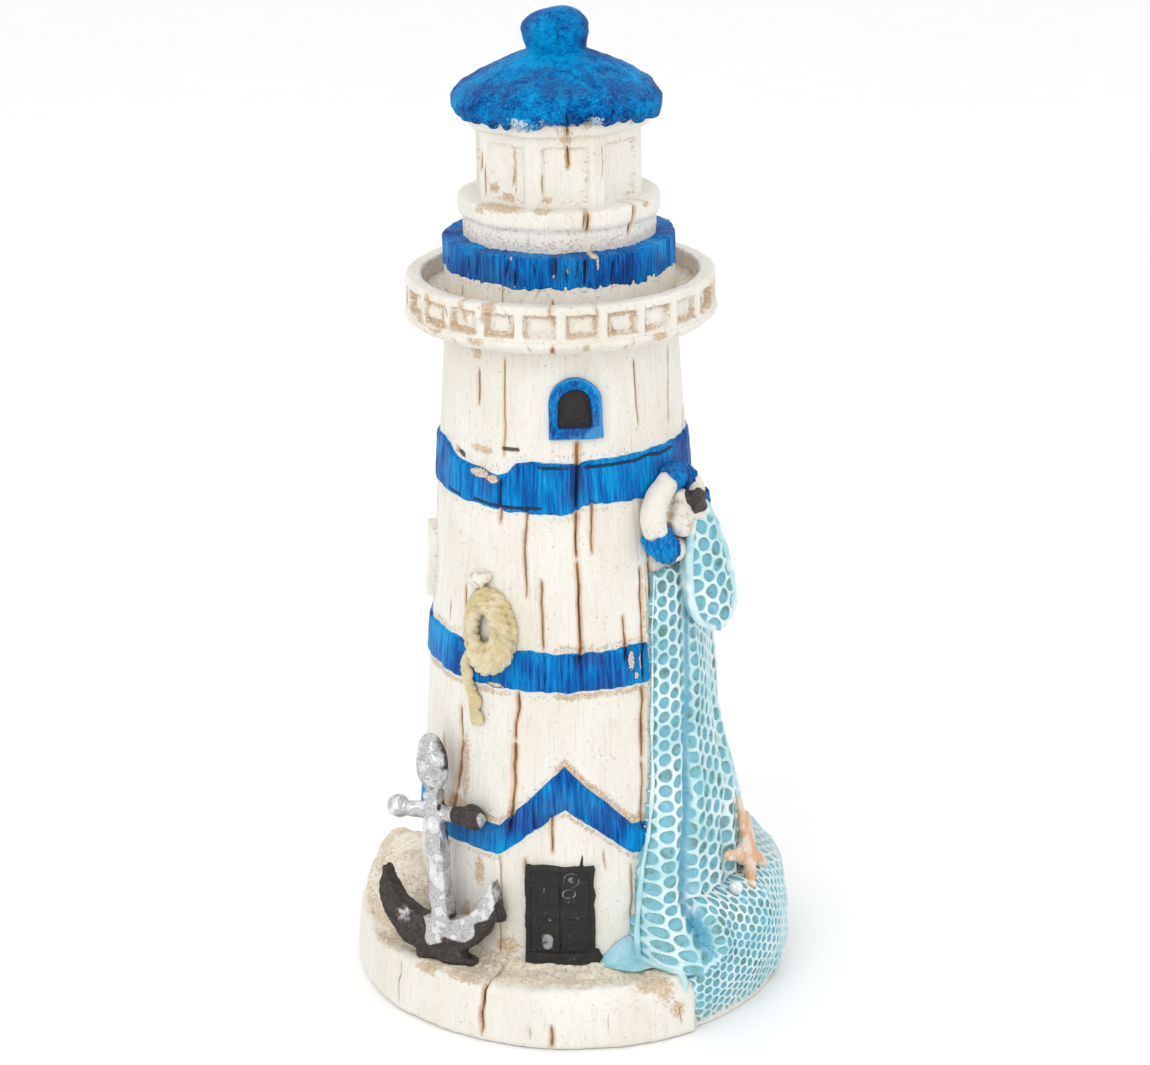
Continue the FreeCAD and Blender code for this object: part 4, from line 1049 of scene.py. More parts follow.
def lantern_foot():
    """The cream plinth under the blue collar."""
    low, high, outer = DECK[1].z, PLINTH[1].z, PLINTH[1].x
    piece = lathe("lantern_plinth_cast", round_profile([(outer + 0.2, low - 0.3), (outer, low + 0.8), (outer, high + 0.3)], 0.4, 0.4), 400)
    co = points(piece)
    azimuth, radius, z = polar(co)
    skin = 0.22 * lumps(co, (5, 5, 30), 71) + 0.07 * lumps(co, (0.9, 0.9, 8), 72)
    put(piece, unpolar(azimuth, radius + ease(5, 17, radius) * skin, z))
    # Darker at the plinth's foot, and more towards the collar above.
    wash = 0.45 * ease(low + 1.2, low, z) + 0.28 * ease(low + 1.6, high, z)
    carve(piece, random_cracks(73, 14, (-180, 180), low, high, 0.22, 0.3, 0.8, 1.0), random_seams(74, 3.6), 0.16, wash)
    return finished(piece, cream_trim, "cream_resin", "lantern_plinth")


def collar_band():
    """The blue collar, with its rough, notched edge."""
    low, high, outer = PLINTH[1].z - 0.2, COLLAR[1].z, COLLAR[1].x
    piece = lathe("blue_collar", round_profile([(outer - 1.0, low), (outer, low), (outer, high), (12.0, high)], 0.36, 0.5), 480)
    co = points(piece)
    azimuth, radius, z = polar(co)
    out = ease(12, 18, radius)
    skin = 0.30 * lumps(co, (5, 5, 30), 71) + 0.12 * lumps(co, (0.9, 0.9, 8), 72) + 0.10 * lumps(co, 1.4, 76)
    notch = -0.7 * ease(0.45, 0.85, lumps(co, (2.4, 2.4, 5), 77)) * ease(high - 1.2, high, z)
    lower = ease(high - 1.5, low, z) * (0.45 * level_noise(azimuth, 9, 78) + 0.25 * level_noise(azimuth, 3, 79) - 0.1)
    top = ease(high - 0.6, high, z)
    put(piece, unpolar(azimuth, radius + out * (skin + notch + 0.12), z + lower + top * out * (0.22 * lumps(co, 2.2, 80) + 0.1 * lumps(co, 0.9, 81))))
    mark(piece, "edge", np.exp(-(((z - low) / 0.4) ** 2)) + 0.8 * np.exp(-(((z - high) / 0.35) ** 2)) * ease(outer - 1.2, outer - 0.3, radius))
    cracks = [(11.5, 129.4, 11.5, 124.4, 0.30, 0.4, 1.0), (-22.5, 127.5, -22.5, 124.2, 0.28, 0.4, 1.0), (-2.8, 129.6, -3.6, 126.2, 0.7, 0.8, 0.9),
              (2.5, 128.0, 2.5, 125.6, 0.24, 0.3, 0.8)] + random_cracks(83, 16, (-180, 180), low, high, 0.24, 0.35, 0.9, 0.9)
    worn = 0.8 * spots(points(piece), [(18.5, 128.2, 0.8, 1.6), (16.5, 129.3, 2.0, 0.4), (3.5, 127.2, 1.0, 0.5), (-3, 126.4, 0.8, 0.5), (-24, 129.0, 1.2, 0.4)])
    carve(piece, cracks, random_seams(84, 3.3), 0.22, worn)
    return finished(piece, blue, "blue_paint", "collar_ring")


def lantern_ring():
    """The cream ring under the lantern, with its overhanging rim."""
    low, high, rim = COLLAR[1].z, SILL[1].z, SILL[1].x
    wall = rim - 0.65
    piece = lathe("lantern_sill_cast", round_profile([(wall, low - 0.3), (wall, high - 3.4), (rim, high - 2.7), (rim, high - 0.2), (rim - 0.8, high),
                                                      (11.0, high - 0.1)], 0.36, 0.6), 440)
    co = points(piece)
    azimuth, radius, z = polar(co)
    out = ease(10, 15, radius)
    skin = 0.22 * lumps(co, (6, 6, 30), 91) + 0.12 * lumps(co, (2, 2, 2.2), 92) + 0.05 * lumps(co, 0.9, 93)
    put(piece, unpolar(azimuth, radius + out * skin, z + out * 0.16 * lumps(co, (3.5, 3.5, 8), 94)))
    wash = 0.62 * spots(co, [(-38, 136.0, 16, 0.7), (-50, 135.6, 5, 0.9), (-28, 136.1, 5, 0.6), (-10, 136.0, 6, 0.4), (58, 135.5, 3, 0.6)])
    # Brown painted shade on the sill wall: darker towards the collar, and a band just under the overhanging rim.
    wash = np.maximum(wash, 0.30 * ease(high - 3.2, low + 1.0, z))
    wash = np.maximum(wash, 0.34 * np.exp(-(((z - (high - 3.3)) / 0.5) ** 2)) * (0.6 + 0.6 * level_noise(azimuth, 8, 95)))
    cracks = [(15.4, 136.3, 15.4, 132.2, 0.34, 0.6, 1.0), (12.9, 136.2, 12.9, 133.0, 0.24, 0.35, 0.8), (46.0, 136.4, 44.0, 131.0, 0.34, 0.6, 1.0)]
    cracks += random_cracks(96, 12, (70, 330), low, high, 0.26, 0.4, 0.8, 0.8)
    carve(piece, cracks, random_seams(97, 8), 0.1, wash)
    return finished(piece, cream_trim, "cream_resin", "lantern_sill")


LANTERN_SIDES = 8
LANTERN_TURN = 5.0


def lantern_house():
    """Eight-sided lantern: posts at the corners and sunk panes between."""
    low, high = SILL[1].z, LANTERN[1].z
    corner = 13.95
    flat = corner * math.cos(math.pi / LANTERN_SIDES)
    piece = lathe("lantern_room_cast", round_profile([(flat, low - 0.3), (flat, high + 0.3)], 0.34, 0.3), 560)
    co = points(piece)
    azimuth, radius, z = polar(co)
    off = apart(azimuth * LANTERN_SIDES, LANTERN_TURN * LANTERN_SIDES) / LANTERN_SIDES
    reach = flat / np.cos(np.radians(off))
    across = flat * np.tan(np.radians(off))
    wobble = 0.18 * lumps(co, (2.5, 2.5, 5), 101)
    side = 3.75 - np.abs(across) + wobble
    depth_in = np.minimum(np.minimum(side, z - (low + 0.5)), (high - 1.8) - z + wobble)
    sunk = ease(-0.15, 0.55, depth_in)
    post = 0.12 * ease(3.4, 4.6, np.abs(across))
    round_corner = -0.45 * ease(4.4, 5.4, np.abs(across))
    skin = 0.14 * lumps(co, (5, 5, 20), 102) + 0.05 * lumps(co, (0.8, 0.8, 7), 103) + 0.05 * lumps(co, 1.2, 104)
    wall = ease(2, 12, radius)
    reach = radius + wall * (reach - flat + post + round_corner + skin - 0.62 * sunk)
    put(piece, unpolar(azimuth, reach, z))
    # Darker along the edges of the sunk panes.
    edge = np.exp(-(((depth_in - 0.2) / 0.4) ** 2)) * wall
    wash = edge * (0.26 + 0.3 * lumps(co, (4, 4, 4), 105))
    wash = np.maximum(wash, 0.85 * spots(points(piece), [(-33, 141.4, 1.8, 3.2), (-33.5, 144.0, 1.4, 1.2), (6, 143.4, 1.2, 1.6), (-52, 138.2, 3, 0.8), (-40, 137.0, 8, 0.6),
                                                         (5.5, 146.8, 4, 0.9), (-8, 137.2, 4, 0.4)]))
    cracks = [(6.0, 146.0, 6.0, 141.8, 0.30, 0.5, 1.0), (-11.5, 141.5, -11.5, 138.0, 0.2, 0.3, 0.6), (29.4, 146.0, 29.4, 140.0, 0.16, 0.2, 0.35)]
    cracks += random_cracks(107, 12, (70, 330), low, high, 0.24, 0.35, 0.85, 0.5)
    carve(piece, cracks, random_seams(108, 7), 0.08, wash)
    return finished(piece, cream_trim, "cream_resin", "lantern_room")


def cornice():
    low, high = LANTERN[1].z, ROOF[0].z
    outer = CORNICE[1].x
    piece = lathe("cornice_cast", round_profile([(outer - 0.9, low - 0.1), (outer - 0.3, low + 0.2), (outer + 0.1, high - 0.2), (outer - 0.4, high + 0.3)], 0.34, 0.4), 400)
    co = points(piece)
    azimuth, radius, z = polar(co)
    eight = 0.35 * np.cos(np.radians(LANTERN_SIDES * (azimuth - LANTERN_TURN - 22.5)))
    skin = 0.18 * lumps(co, (3, 3, 4), 111) + 0.06 * lumps(co, 1.0, 112)
    put(piece, unpolar(azimuth, radius + ease(3, 13, radius) * (skin + eight), z))
    wash = 0.55 * spots(co, [(5, 148.2, 4, 1.0), (18, 149.4, 3, 0.8), (20, 150, 2, 1.0), (-30, 149.2, 4, 0.5)])
    # Darker at the cornice's lower edge, over the lantern.
    carve(piece, [(5.6, 150.0, 5.6, 147.2, 0.3, 0.4, 0.9)] + random_cracks(114, 10, (-180, 180), low, high, 0.25, 0.3, 0.7, 0.9), (), 0.1,
          np.maximum(wash, 0.22 * ease(low + 0.6, low, z)))
    return finished(piece, cream_trim, "cream_resin", "cornice_ring")


def roof_cap():
    """Soft eight-sided roof whose brim drips unevenly."""
    low, high, rim = ROOF[0].z, ROOF[1].z, ROOF[1].x
    profile = [(13.6, low - 0.25), (15.2, low - 0.6), (16.5, low - 0.15), (rim, low + 0.8), (rim - 0.1, low + 1.9), (15.6, low + 3.7), (12.4, low + 5.7),
               (8.8, low + 7.5), (6.0, low + 8.6), (4.6, high + 0.1)]
    piece = lathe("roof_cast", round_profile(profile, 0.34, 1.0), 480)
    co = points(piece)
    azimuth, radius, z = polar(co)
    out = ease(4, 15, radius)
    eight = 0.22 * np.cos(np.radians(LANTERN_SIDES * (azimuth - LANTERN_TURN - 22.5)))
    skin = 0.30 * lumps(co, 5.0, 121) + 0.12 * lumps(co, 1.4, 122) + 0.09 * lumps(co, 0.7, 123)
    brim = ease(low + 1.6, low - 0.2, z) * ease(13, 15, radius)
    drip = 0.75 * level_noise(azimuth, 4.6, 124) + 0.45 * level_noise(azimuth, 1.9, 125) - 0.15
    drip += table(azimuth, (-180, 0), (-30, 0.1), (-26, 0.25), (-16, 0.25), (-12, 0.2), (2, 0.45), (8, 0.2), (18, 0.9), (26, 0.5), (34, -0.1), (180, 0))
    bump = 0.10 * np.maximum(lumps(co, 0.8, 126), 0)
    put(piece, unpolar(azimuth, radius + out * (eight + skin + bump), z + brim * drip + (1 - brim) * ease(3, 6, radius) * (0.10 * lumps(co, 1.1, 127) + bump)))
    worn = 0.66 * spots(co, [(-33, 150.6, 10, 1.0), (-24, 151.4, 8, 1.4), (-44, 150.4, 8, 0.8), (-12, 150.2, 6, 0.9), (20, 150.3, 4, 0.8), (-38, 152.4, 9, 1.2)])
    white_edge = ease(low + 2.1, low + 1.0, z) * ease(13.5, 14.5, radius) * (0.72 + 0.45 * level_noise(azimuth, 4.0, 128))
    worn = np.maximum(worn, white_edge * ease(48, 30, np.abs(apart(azimuth, -8))))
    mark(piece, "edge", 0.8 * brim)
    carve(piece, [(5.6, 152.2, 5.6, 149.2, 0.3, 0.5, 0.9), (17.8, 152.0, 18.4, 150.2, 0.26, 0.4, 0.9), (-24, 152.8, -24, 150.6, 0.18, 0.2, 0.5)], (), 0.1, worn)
    return finished(piece, blue_roof, "blue_paint", "roof")


def roof_ball():
    """The lumpy knob on the roof."""
    low, high, r = ROOF[1].z, KNOB[1].z, KNOB[1].x
    profile = [(4.9, low - 0.5), (4.7, low + 0.2), (r - 0.35, low + 1.5), (r, low + 3.1), (r - 0.2, low + 4.3), (r - 1.7, low + 5.7), (2.0, high - 0.1), (0.6, high)]
    piece = lathe("roof_knob_cast", round_profile(profile, 0.28, 1.2), 152)
    co = points(piece)
    azimuth, radius, z = polar(co)
    skin = 0.42 * lumps(co, 4.2, 131) + 0.12 * lumps(co, 1.5, 132) + 0.07 * lumps(co, 0.7, 133)
    put(piece, unpolar(azimuth, radius * (1 + 0.05 * skin) + ease(0.5, 3, radius) * skin * 0.8, z + 0.3 * lumps(co, 4.0, 134) * ease(low + 1, low + 3, z)))
    mark(piece, "edge", 0 * z)
    carve(piece, [(6.0, 164.4, 5.0, 160.0, 0.3, 0.25, 0.5)], (), 0.1, 0.5 * spots(co, [(14, 163.8, 14, 1.2)]))
    return finished(piece, blue_roof, "blue_paint", "roof_knob")


# ---------------------------------------------------------------- applied pieces
def wrap_on_tower(piece, azimuth, foot, stand_off=0.0):
    """Lays a flat piece (x right, y up, z out) on the tower's wall."""
    co = points(piece)
    z = foot + co[:, 1]
    radius = tower_radius(z) + co[:, 2] + stand_off
    put(piece, unpolar(azimuth + np.degrees(co[:, 0] / tower_radius(z)), radius, z))
    return piece


def slab(name, outline, back, front, border=None):
    """A flat plate with this outline; with a border given, only its rim."""
    clear()
    bpy.ops.mesh.primitive_circle_add(vertices=len(outline), radius=1, fill_type="NGON")
    piece = bpy.context.object
    piece.name = piece.data.name = name
    put(piece, np.array([(x, y, back) for x, y in outline], float))
    edit(piece, "FACE")
    if border:
        bpy.ops.mesh.inset(thickness=border, depth=0)
        bpy.ops.mesh.delete(type="FACE")
        bpy.ops.mesh.select_all(action="SELECT")
    bpy.ops.mesh.extrude_region_move(TRANSFORM_OT_translate={"value": (0, 0, front - back)})
    bpy.ops.mesh.select_all(action="SELECT")
    bpy.ops.mesh.normals_make_consistent(inside=False)
    return done()


def lump(name, centre, size, turn=0.0, facets=4):
    """A round lump of clay: a ball drawn out to size."""
    clear()
    bpy.ops.mesh.primitive_ico_sphere_add(subdivisions=facets, radius=1)
    piece = bpy.context.object
    piece.name = piece.data.name = name
    co = points(piece) * np.array(size)
    a = math.radians(turn)
    turned = np.stack([co[:, 0] * math.cos(a) - co[:, 1] * math.sin(a), co[:, 0] * math.sin(a) + co[:, 1] * math.cos(a), co[:, 2]], axis=1)
    put(piece, turned + np.array(centre))
    return piece


def join(name, *pieces):
    only(*pieces)
    bpy.ops.object.join()
    piece = bpy.context.object
    piece.name = piece.data.name = name
    return piece


def recast(piece, voxel, soften=0):
    """One skin over everything in the piece."""
    skin = piece.modifiers.new("skin", "REMESH")
    skin.mode = "VOXEL"
    skin.voxel_size = voxel
    apply_all(piece)
    return smoothed(piece, soften) if soften else piece


def arch(width, height, steps=14):
    half, spring = width / 2, height - width / 2
    across = [(half * math.cos(math.pi * k / steps), spring + half * math.sin(math.pi * k / steps)) for k in range(steps + 1)]
    sides = [(-half, spring * k / 5) for k in (4, 3, 2, 1)]
    foot = [(-half + width * k / 6, 0) for k in range(7)]
    return across + sides + foot + [(half, spring * k / 5) for k in (1, 2, 3, 4)]


def box_line(left, right, low, high, steps=8):
    share = np.linspace(0, 1, steps, endpoint=False)
    line = [(left + (right - left) * t, low) for t in share] + [(right, low + (high - low) * t) for t in share]
    return line + [(right + (left - right) * t, high) for t in share] + [(left, high + (low - high) * t) for t in share]


def front_window():
    foot = span("front_window_frame")[0].z
    frame_piece = recast(slab("front_window", arch(8.5, 9.8), -1.4, 0.95, 1.75), 0.17, 3)
    co = points(frame_piece)
    bent = 0.34 * lumps(co, 2.6, 151)
    put(frame_piece, co + np.stack([bent, 0.18 * lumps(co, 3.0, 152), 0.12 * lumps(co, 1.6, 153) * (co[:, 2] > 0)], axis=1))
    co = points(frame_piece)
    rim = np.maximum(np.abs(co[:, 0]) / 4.25, np.where(co[:, 1] > 5.5, np.hypot(co[:, 0], co[:, 1] - 5.5) / 4.25, 0))
    rim = np.maximum(rim, ease(0.7, 0.0, co[:, 1]))
    blank(frame_piece)
    # Painted highlight: lighter cyan on the frame's rim, right side and bottom, stored in the edge mark.
    lit = ease(0.86, 1.0, rim) + 0.8 * ease(1.0, 3.2, co[:, 0]) + 0.8 * ease(2.2, 0.6, co[:, 1])
    mark(frame_piece, "edge", np.clip(lit, 0, 1) * (co[:, 2] > 0.2))
    wrap_on_tower(frame_piece, 5.7, foot)
    finished(frame_piece, blue_gloss, "blue_paint", "front_window_frame")
    pane = recast(slab("front_window_pane_cast", [(x * 0.80, 1.3 + y * 0.80) for x, y in arch(8.2, 9.5)], -1.4, 0.25), 0.22, 2)
    co = points(pane)
    dome = 0.30 * ease(3.2, 0.5, np.hypot(co[:, 0], co[:, 1] - 5.0))
    put(pane, co + np.stack([0 * dome, 0 * dome, (0.16 * lumps(co, 1.2, 155) + 0.10 * lumps(co, 0.6, 156) + dome) * (co[:, 2] > 0)], axis=1))
    mark(pane, "edge", 0 * dome)
    flecks = 0.8 * ease(0.72, 0.92, lumps(co, 0.5, 157))
    mark(pane, "scuff", 0.25 * ease(1.5, 0.4, np.hypot(co[:, 0] - 0.8, co[:, 1] - 4.6)) + flecks)
    wrap_on_tower(pane, 5.7, foot)
    finished(pane, black, "black_paint", "front_window_pane")


def side_window():
    foot, top = span("side_window_frame")[0].z, span("side_window_frame")[1].z
    frame_piece = recast(slab("side_window", arch(9.2, top - foot), -1.4, 1.5, 1.9), 0.24, 3)
    co = points(frame_piece)
    put(frame_piece, co + np.stack([0.2 * lumps(co, 2.6, 161), 0.2 * lumps(co, 3.0, 162), 0.12 * lumps(co, 1.6, 163)], axis=1))
    co = points(frame_piece)
    blank(frame_piece)
    # Darker towards the wall.
    mark(frame_piece, "worn", 0.3 * ease(0.8, -0.2, co[:, 2]))
    wrap_on_tower(frame_piece, -90.0, foot)
    finished(frame_piece, cream_trim, "cream_resin", "side_window_frame")
    pane = recast(slab("side_window_pane_cast", [(x * 0.80, 1.5 + y * 0.82) for x, y in arch(8.8, top - foot - 0.3)], -1.4, 0.75), 0.24, 2)
    co = points(pane)
    put(pane, co + np.stack([0 * co[:, 0], 0 * co[:, 0], 0.15 * lumps(co, 1.6, 165)], axis=1))
    blank(pane)
    mark(pane, "edge", 0.7 * ease(2.9, 3.5, np.abs(co[:, 0])))
    wrap_on_tower(pane, -90.0, foot)
    finished(pane, blue, "blue_paint", "side_window_pane")


def blank(piece):
    """No cracks and no wear."""
    count = len(piece.data.vertices)
    mark(piece, "crack_side", np.full(count, 9.0))
    for name in ("crack_near", "worn", "edge", "scuff", "grit", "groove"):
        mark(piece, name, np.zeros(count))


DOOR_AT = -3.9


def door():
    """Two black leaves in a lumpy frame, over a thick sill."""
    foot = span("door_frame")[0].z
    high = span("door_frame")[1].z - foot
    half = 5.75
    rim = slab("door_rim", box_line(-half, half, 0, high), -1.2, 0.85, 0.85)
    sill = slab("sill", box_line(-half, half + 0.7, -1.1, 1.0), -1.2, 1.5)
    corner = lump("sill_end", (half - 0.3, -0.1, 0.6), (1.5, 1.1, 1.2), facets=3)
    spike = slab("spike", [(3.3, high - 0.6), (4.1, high - 0.6), (3.85, high + 1.0), (3.65, high + 3.4), (3.5, high + 1.0)], -0.6, 0.35)
    behind = slab("behind", box_line(-half + 0.3, half - 0.3, 0.3, high - 0.3), -1.2, 0.36)
    piece = recast(join("black_door_frame", rim, sill, corner, spike, behind), 0.2, 2)
    co = points(piece)
    front = co[:, 2] > -0.4
    put(piece, co + np.stack([0.20 * lumps(co, 1.8, 171) + 0.08 * lumps(co, 0.8, 172), 0.20 * lumps(co, 1.7, 173), (0.16 * lumps(co, 1.4, 174) + 0.08 * lumps(co, 0.7, 175)) * front], axis=1))
    blank(piece)
    mark(piece, "edge", 0.5 * ease(0.2, 0.9, points(piece)[:, 2]))
    wrap_on_tower(piece, DOOR_AT, foot)
    finished(piece, black, "black_paint", "door_frame")
    for side, node in ((-1, "door_leaf_left"), (1, "door_leaf_right")):
        left, right = sorted((side * 0.12, side * (half - 0.6)))
        leaf = recast(slab("black_" + node, box_line(left, right, 0.4, high - 0.5), -1.2, 0.58), 0.2, 2)
        co = points(leaf)
        panels = 0.0
        for low, top in ((1.4, 6.8), (7.8, high - 1.4)):
            inside = np.minimum(np.minimum(co[:, 0] - left - 0.75, right - 0.75 - co[:, 0]), np.minimum(co[:, 1] - low, top - co[:, 1]))
            panels = panels + ease(-0.1, 0.35, inside)
        relief = (-0.14 * panels + 0.13 * lumps(co, 1.3, 176) + 0.07 * lumps(co, 0.6, 177)) * (co[:, 2] > 0)
        put(leaf, co + np.stack([0 * relief, 0 * relief, relief], axis=1))
        blank(leaf)
        if side > 0:
            rings = np.abs(np.hypot((co[:, 0] - 1.9) / 1.25, (co[:, 1] - 13.6) / 1.25) - 1)
            oval = np.abs(np.hypot((co[:, 0] - 1.5) / 1.05, (co[:, 1] - 11.2) / 0.75) - 1)
            scuff = 0.55 * ease(1.3, 0.3, np.hypot(co[:, 0] - 1.9, co[:, 1] - 13.6)) + 0.6 * ease(0.2, 0.05, rings) + 0.75 * ease(0.22, 0.05, oval)
            scuff += 0.55 * ease(1.0, 0.2, np.hypot(co[:, 0] - 1.6, (co[:, 1] - 8.2) / 1.4)) + 0.35 * ease(0.7, 0.1, np.hypot(co[:, 0] - 1.0, co[:, 1] - 6.2))
        else:
            scuff = 0.95 * ease(1.3, 0.5, np.hypot((co[:, 0] + 2.2) / 1.2, (co[:, 1] - 2.6) / 1.7))
            scuff += 0.6 * ease(0.35, 0.1, np.abs(co[:, 0] + 2.6)) * ease(0.9, 0.3, np.abs(co[:, 1] - 11.8))
            scuff += 0.55 * ease(0.5, 0.1, np.abs(co[:, 0] + 1.1)) * ease(0.9, 0.3, np.abs(co[:, 1] - 10.2))
            scuff += 0.7 * ease(0.8, 0.3, np.hypot(co[:, 0] + 1.5, (co[:, 1] - 6.6) / 1.3)) * ease(-0.2, 0.3, lumps(co, 0.5, 178))
        mark(leaf, "scuff", scuff * (1.0 + 0.4 * lumps(co, 0.7, 179)))
        wrap_on_tower(leaf, DOOR_AT, foot)
        finished(leaf, black, "black_paint", node)


def sand_bank():
    """The heap of sand behind the anchor."""
    low, high = span("sand_mound")
    a = math.radians(-93.0)
    middle = 27.6
    centre = (middle * math.sin(a), -middle * math.cos(a), BASE_TOP - 0.6)
    piece = lump("sand_bank", centre, (8.4, 16.0, high.z - BASE_TOP + 0.4), 3.0, 6)
    co = points(piece)
    skin = 1.1 * lumps(co, 6.5, 181) + 0.55 * lumps(co, 3.0, 182) + 0.22 * lumps(co, 1.3, 183) + 0.10 * lumps(co, 0.7, 184)
    push(piece, skin)
    co = points(piece)
    azimuth, radius, z = polar(co)
    radius = np.minimum(radius, BASE_R - 1.2 + 0.4 * lumps(co, 3, 185))
    put(piece, unpolar(azimuth, radius, np.maximum(z, 9.0)))
    blank(piece)
    mark(piece, "grit", 0.75 + 0.25 * lumps(co, 5.0, 186))
    mark(piece, "worn", np.clip(0.30 + 0.4 * lumps(co, 4.0, 187), 0, 1))
    return finished(piece, cream_base, "cream_resin", "sand_mound")


# ---------------------------------------------------------------- anchor
def anchor():
    low, high = span("anchor_arms")
    foot_azimuth = math.radians(-41.0)
    foot = Vector((31.8 * math.sin(foot_azimuth), -31.8 * math.cos(foot_azimuth), BASE_TOP))
    extras = [
        lump("crown_foot", foot + Vector((0.2, 0.2, 0.6)), (4.2, 2.6, 1.6), -35, 3),
        lump("crown_toe", foot + Vector((-3.2, 1.0, 0.8)), (2.2, 1.6, 1.3), 0, 3),
        lump("crown_heel", foot + Vector((3.4, -1.2, 0.2)), (2.2, 1.5, 1.0), -30, 3),
    ]
    piece = cast_copy("cast_anchor", ["anchor_shank", "anchor_stock", "anchor_arms"], 0.30, extras)
    smoothed(piece, 3)
    co = points(piece)
    push(piece, 0.36 * lumps(co, 3.2, 191) + 0.20 * lumps(co, 1.6, 192) + 0.05 * lumps(co, 0.8, 193))
    smoothed(piece, 1)
    co, out = points(piece), normals(piece)
    face = math.radians(-26.0)
    towards = out[:, 0] * math.sin(face) - out[:, 1] * math.cos(face)
    right = out[:, 0] * math.cos(face) + out[:, 1] * math.sin(face)
    across = (co[:, 0] - foot.x) * math.cos(face) + (co[:, 1] - foot.y) * math.sin(face)
    up = co[:, 2] - foot.z
    off_shank = across + 0.036 * up
    from_arc = np.hypot(across - 0.8, up - 17.0)
    # Painted shade on faces turned away from the anchor's front, on right-facing faces, down the shank's right side, on
    # the right fluke and round the foot; dark bands along the arms and a dark line near the stock; black-brown wash in
    # patches and creases.
    pit = 0.22 + 0.55 * ease(0.1, 0.8, -towards) + 0.25 * ease(0.3, 0.9, right) + 0.24 * lumps(co, 3.4, 194) + 0.10 * lumps(co, 1.4, 195)
    pit += 0.75 * ease(0.1, 1.0, off_shank) * ease(3.0, 2.0, off_shank) * ease(9, 12, up) * ease(35, 31, up)
    pit += 0.60 * ease(-3.0, -4.5, across) * ease(10.7, 12.0, from_arc + 0.5 * np.sin(up * 0.9)) * ease(20, 17, up)
    pit += 0.50 * ease(-5.5, -7.0, across) * ease(8.9, 8.2, from_arc) * ease(15, 12, up)
    pit += 0.70 * ease(4.0, 6.5, across) * ease(9.6, 11.0, from_arc) * ease(21, 18, up)
    pit += 0.60 * ease(-3.5, 0.5, across) * ease(5.4, 3.2, up) + 0.9 * ease(3.0, 1.4, up)
    pit += 0.70 * ease(1.2, 2.0, across) * ease(5.4, 4.2, across) * ease(21, 23, up) * ease(29, 27, up)
    pit += 0.45 * np.exp(-(((up - 36.5 + 0.3 * across) / 0.5) ** 2)) * ease(-3, -1.0, across)
    pit += 0.6 * ease(0.02, 0.12, hollows(piece, 10))
    mark(piece, "pit", np.clip(pit, 0, 1))
    return finished(piece, silver, "anchor_silver", "anchor_shank", "anchor_stock", "anchor_arms", smooth=60)


# ---------------------------------------------------------------- life ring
def life_ring():
    ring = smoothed(cast_copy("white_life_ring", ["life_ring"], 0.28), 3)
    low, high = span("life_ring")
    ring_middle = np.array((low + high) / 2)
    put(ring, ring_middle + (points(ring) - ring_middle) * 0.93)
    co = points(ring)
    push(ring, 0.28 * lumps(co, 3.0, 201) + 0.10 * lumps(co, 1.3, 202))
    blank(ring)
    mark(ring, "worn", np.clip(0.28 * lumps(co, 2.5, 203), 0, 1))
    finished(ring, white_paint, "cream_resin", "life_ring")
    wraps = smoothed(cast_copy("blue_ring_wraps", ["life_ring_wraps"], 0.2), 1)
    put(wraps, ring_middle + (points(wraps) - ring_middle) * 0.93)
    co = points(wraps)
    ridge = 0.50 * np.abs(lumps(co, (0.9, 0.9, 0.8), 204)) + 0.25 * lumps(co, 1.8, 205)
    push(wraps, ridge)
    blank(wraps)
    mark(wraps, "edge", 0.7 * ease(0.0, -0.06, hollows(wraps, 5)))
    finished(wraps, blue, "blue_paint", "life_ring_wraps")
    peg = smoothed(cast_copy("stained_peg", ["net_peg"], 0.2), 2)
    low, high = span("net_peg")
    peg_middle = np.array((low + high) / 2)
    put(peg, peg_middle + (points(peg) - peg_middle) * (1.15, 1.15, 1.5) + (-0.9, -0.3, 0.9))
    co = points(peg)
    push(peg, 0.25 * lumps(co, 1.2, 206) + 0.1 * lumps(co, 0.6, 207))
    finished(peg, peg_paint, "peg_brown", "net_peg")
    low, high = span("net_knot")
    middle = (low + high) / 2
    ring_azimuth = math.degrees(math.atan2(ring_middle[0], -ring_middle[1]))
    cloth = [
        lump("cloth_disc", ring_middle * (0.965, 0.965, 1) + (0, 0, -0.4), (4.3, 1.5, 4.5), ring_azimuth, 4),
        lump("cloth_a", middle, (2.3, 2.0, 2.2), 40, 4),
        lump("cloth_b", middle + Vector((1.0, 1.0, -1.6)), (2.2, 1.6, 1.6), 50, 4),
        lump("cloth_c", middle + Vector((-1.8, -0.8, -1.0)), (1.7, 1.5, 1.9), 30, 4),
        lump("cloth_e", middle + Vector((-1.6, -0.9, -3.0)), (2.4, 1.7, 2.3), 40, 4),
        lump("cloth_d", middle + Vector((-1.5, -0.4, 1.6)), (1.4, 1.3, 1.2), 30, 4),
    ]
    cloth = smoothed(recast(join("cloth_knot", *cloth), 0.24), 3)
    co = points(cloth)
    push(cloth, 0.30 * lumps(co, (1.6, 1.6, 1.0), 208) + 0.12 * lumps(co, 0.8, 209))
    blank(cloth)
    # Brown painted shade in the cloth's creases, over patchy rubbing.
    mark(cloth, "worn", np.clip(0.22 + 0.3 * lumps(co, 1.5, 210) + 0.5 * ease(0.0, 0.10, hollows(cloth, 14)), 0, 1))
    finished(cloth, cream_trim, "rope_straw", "net_knot")


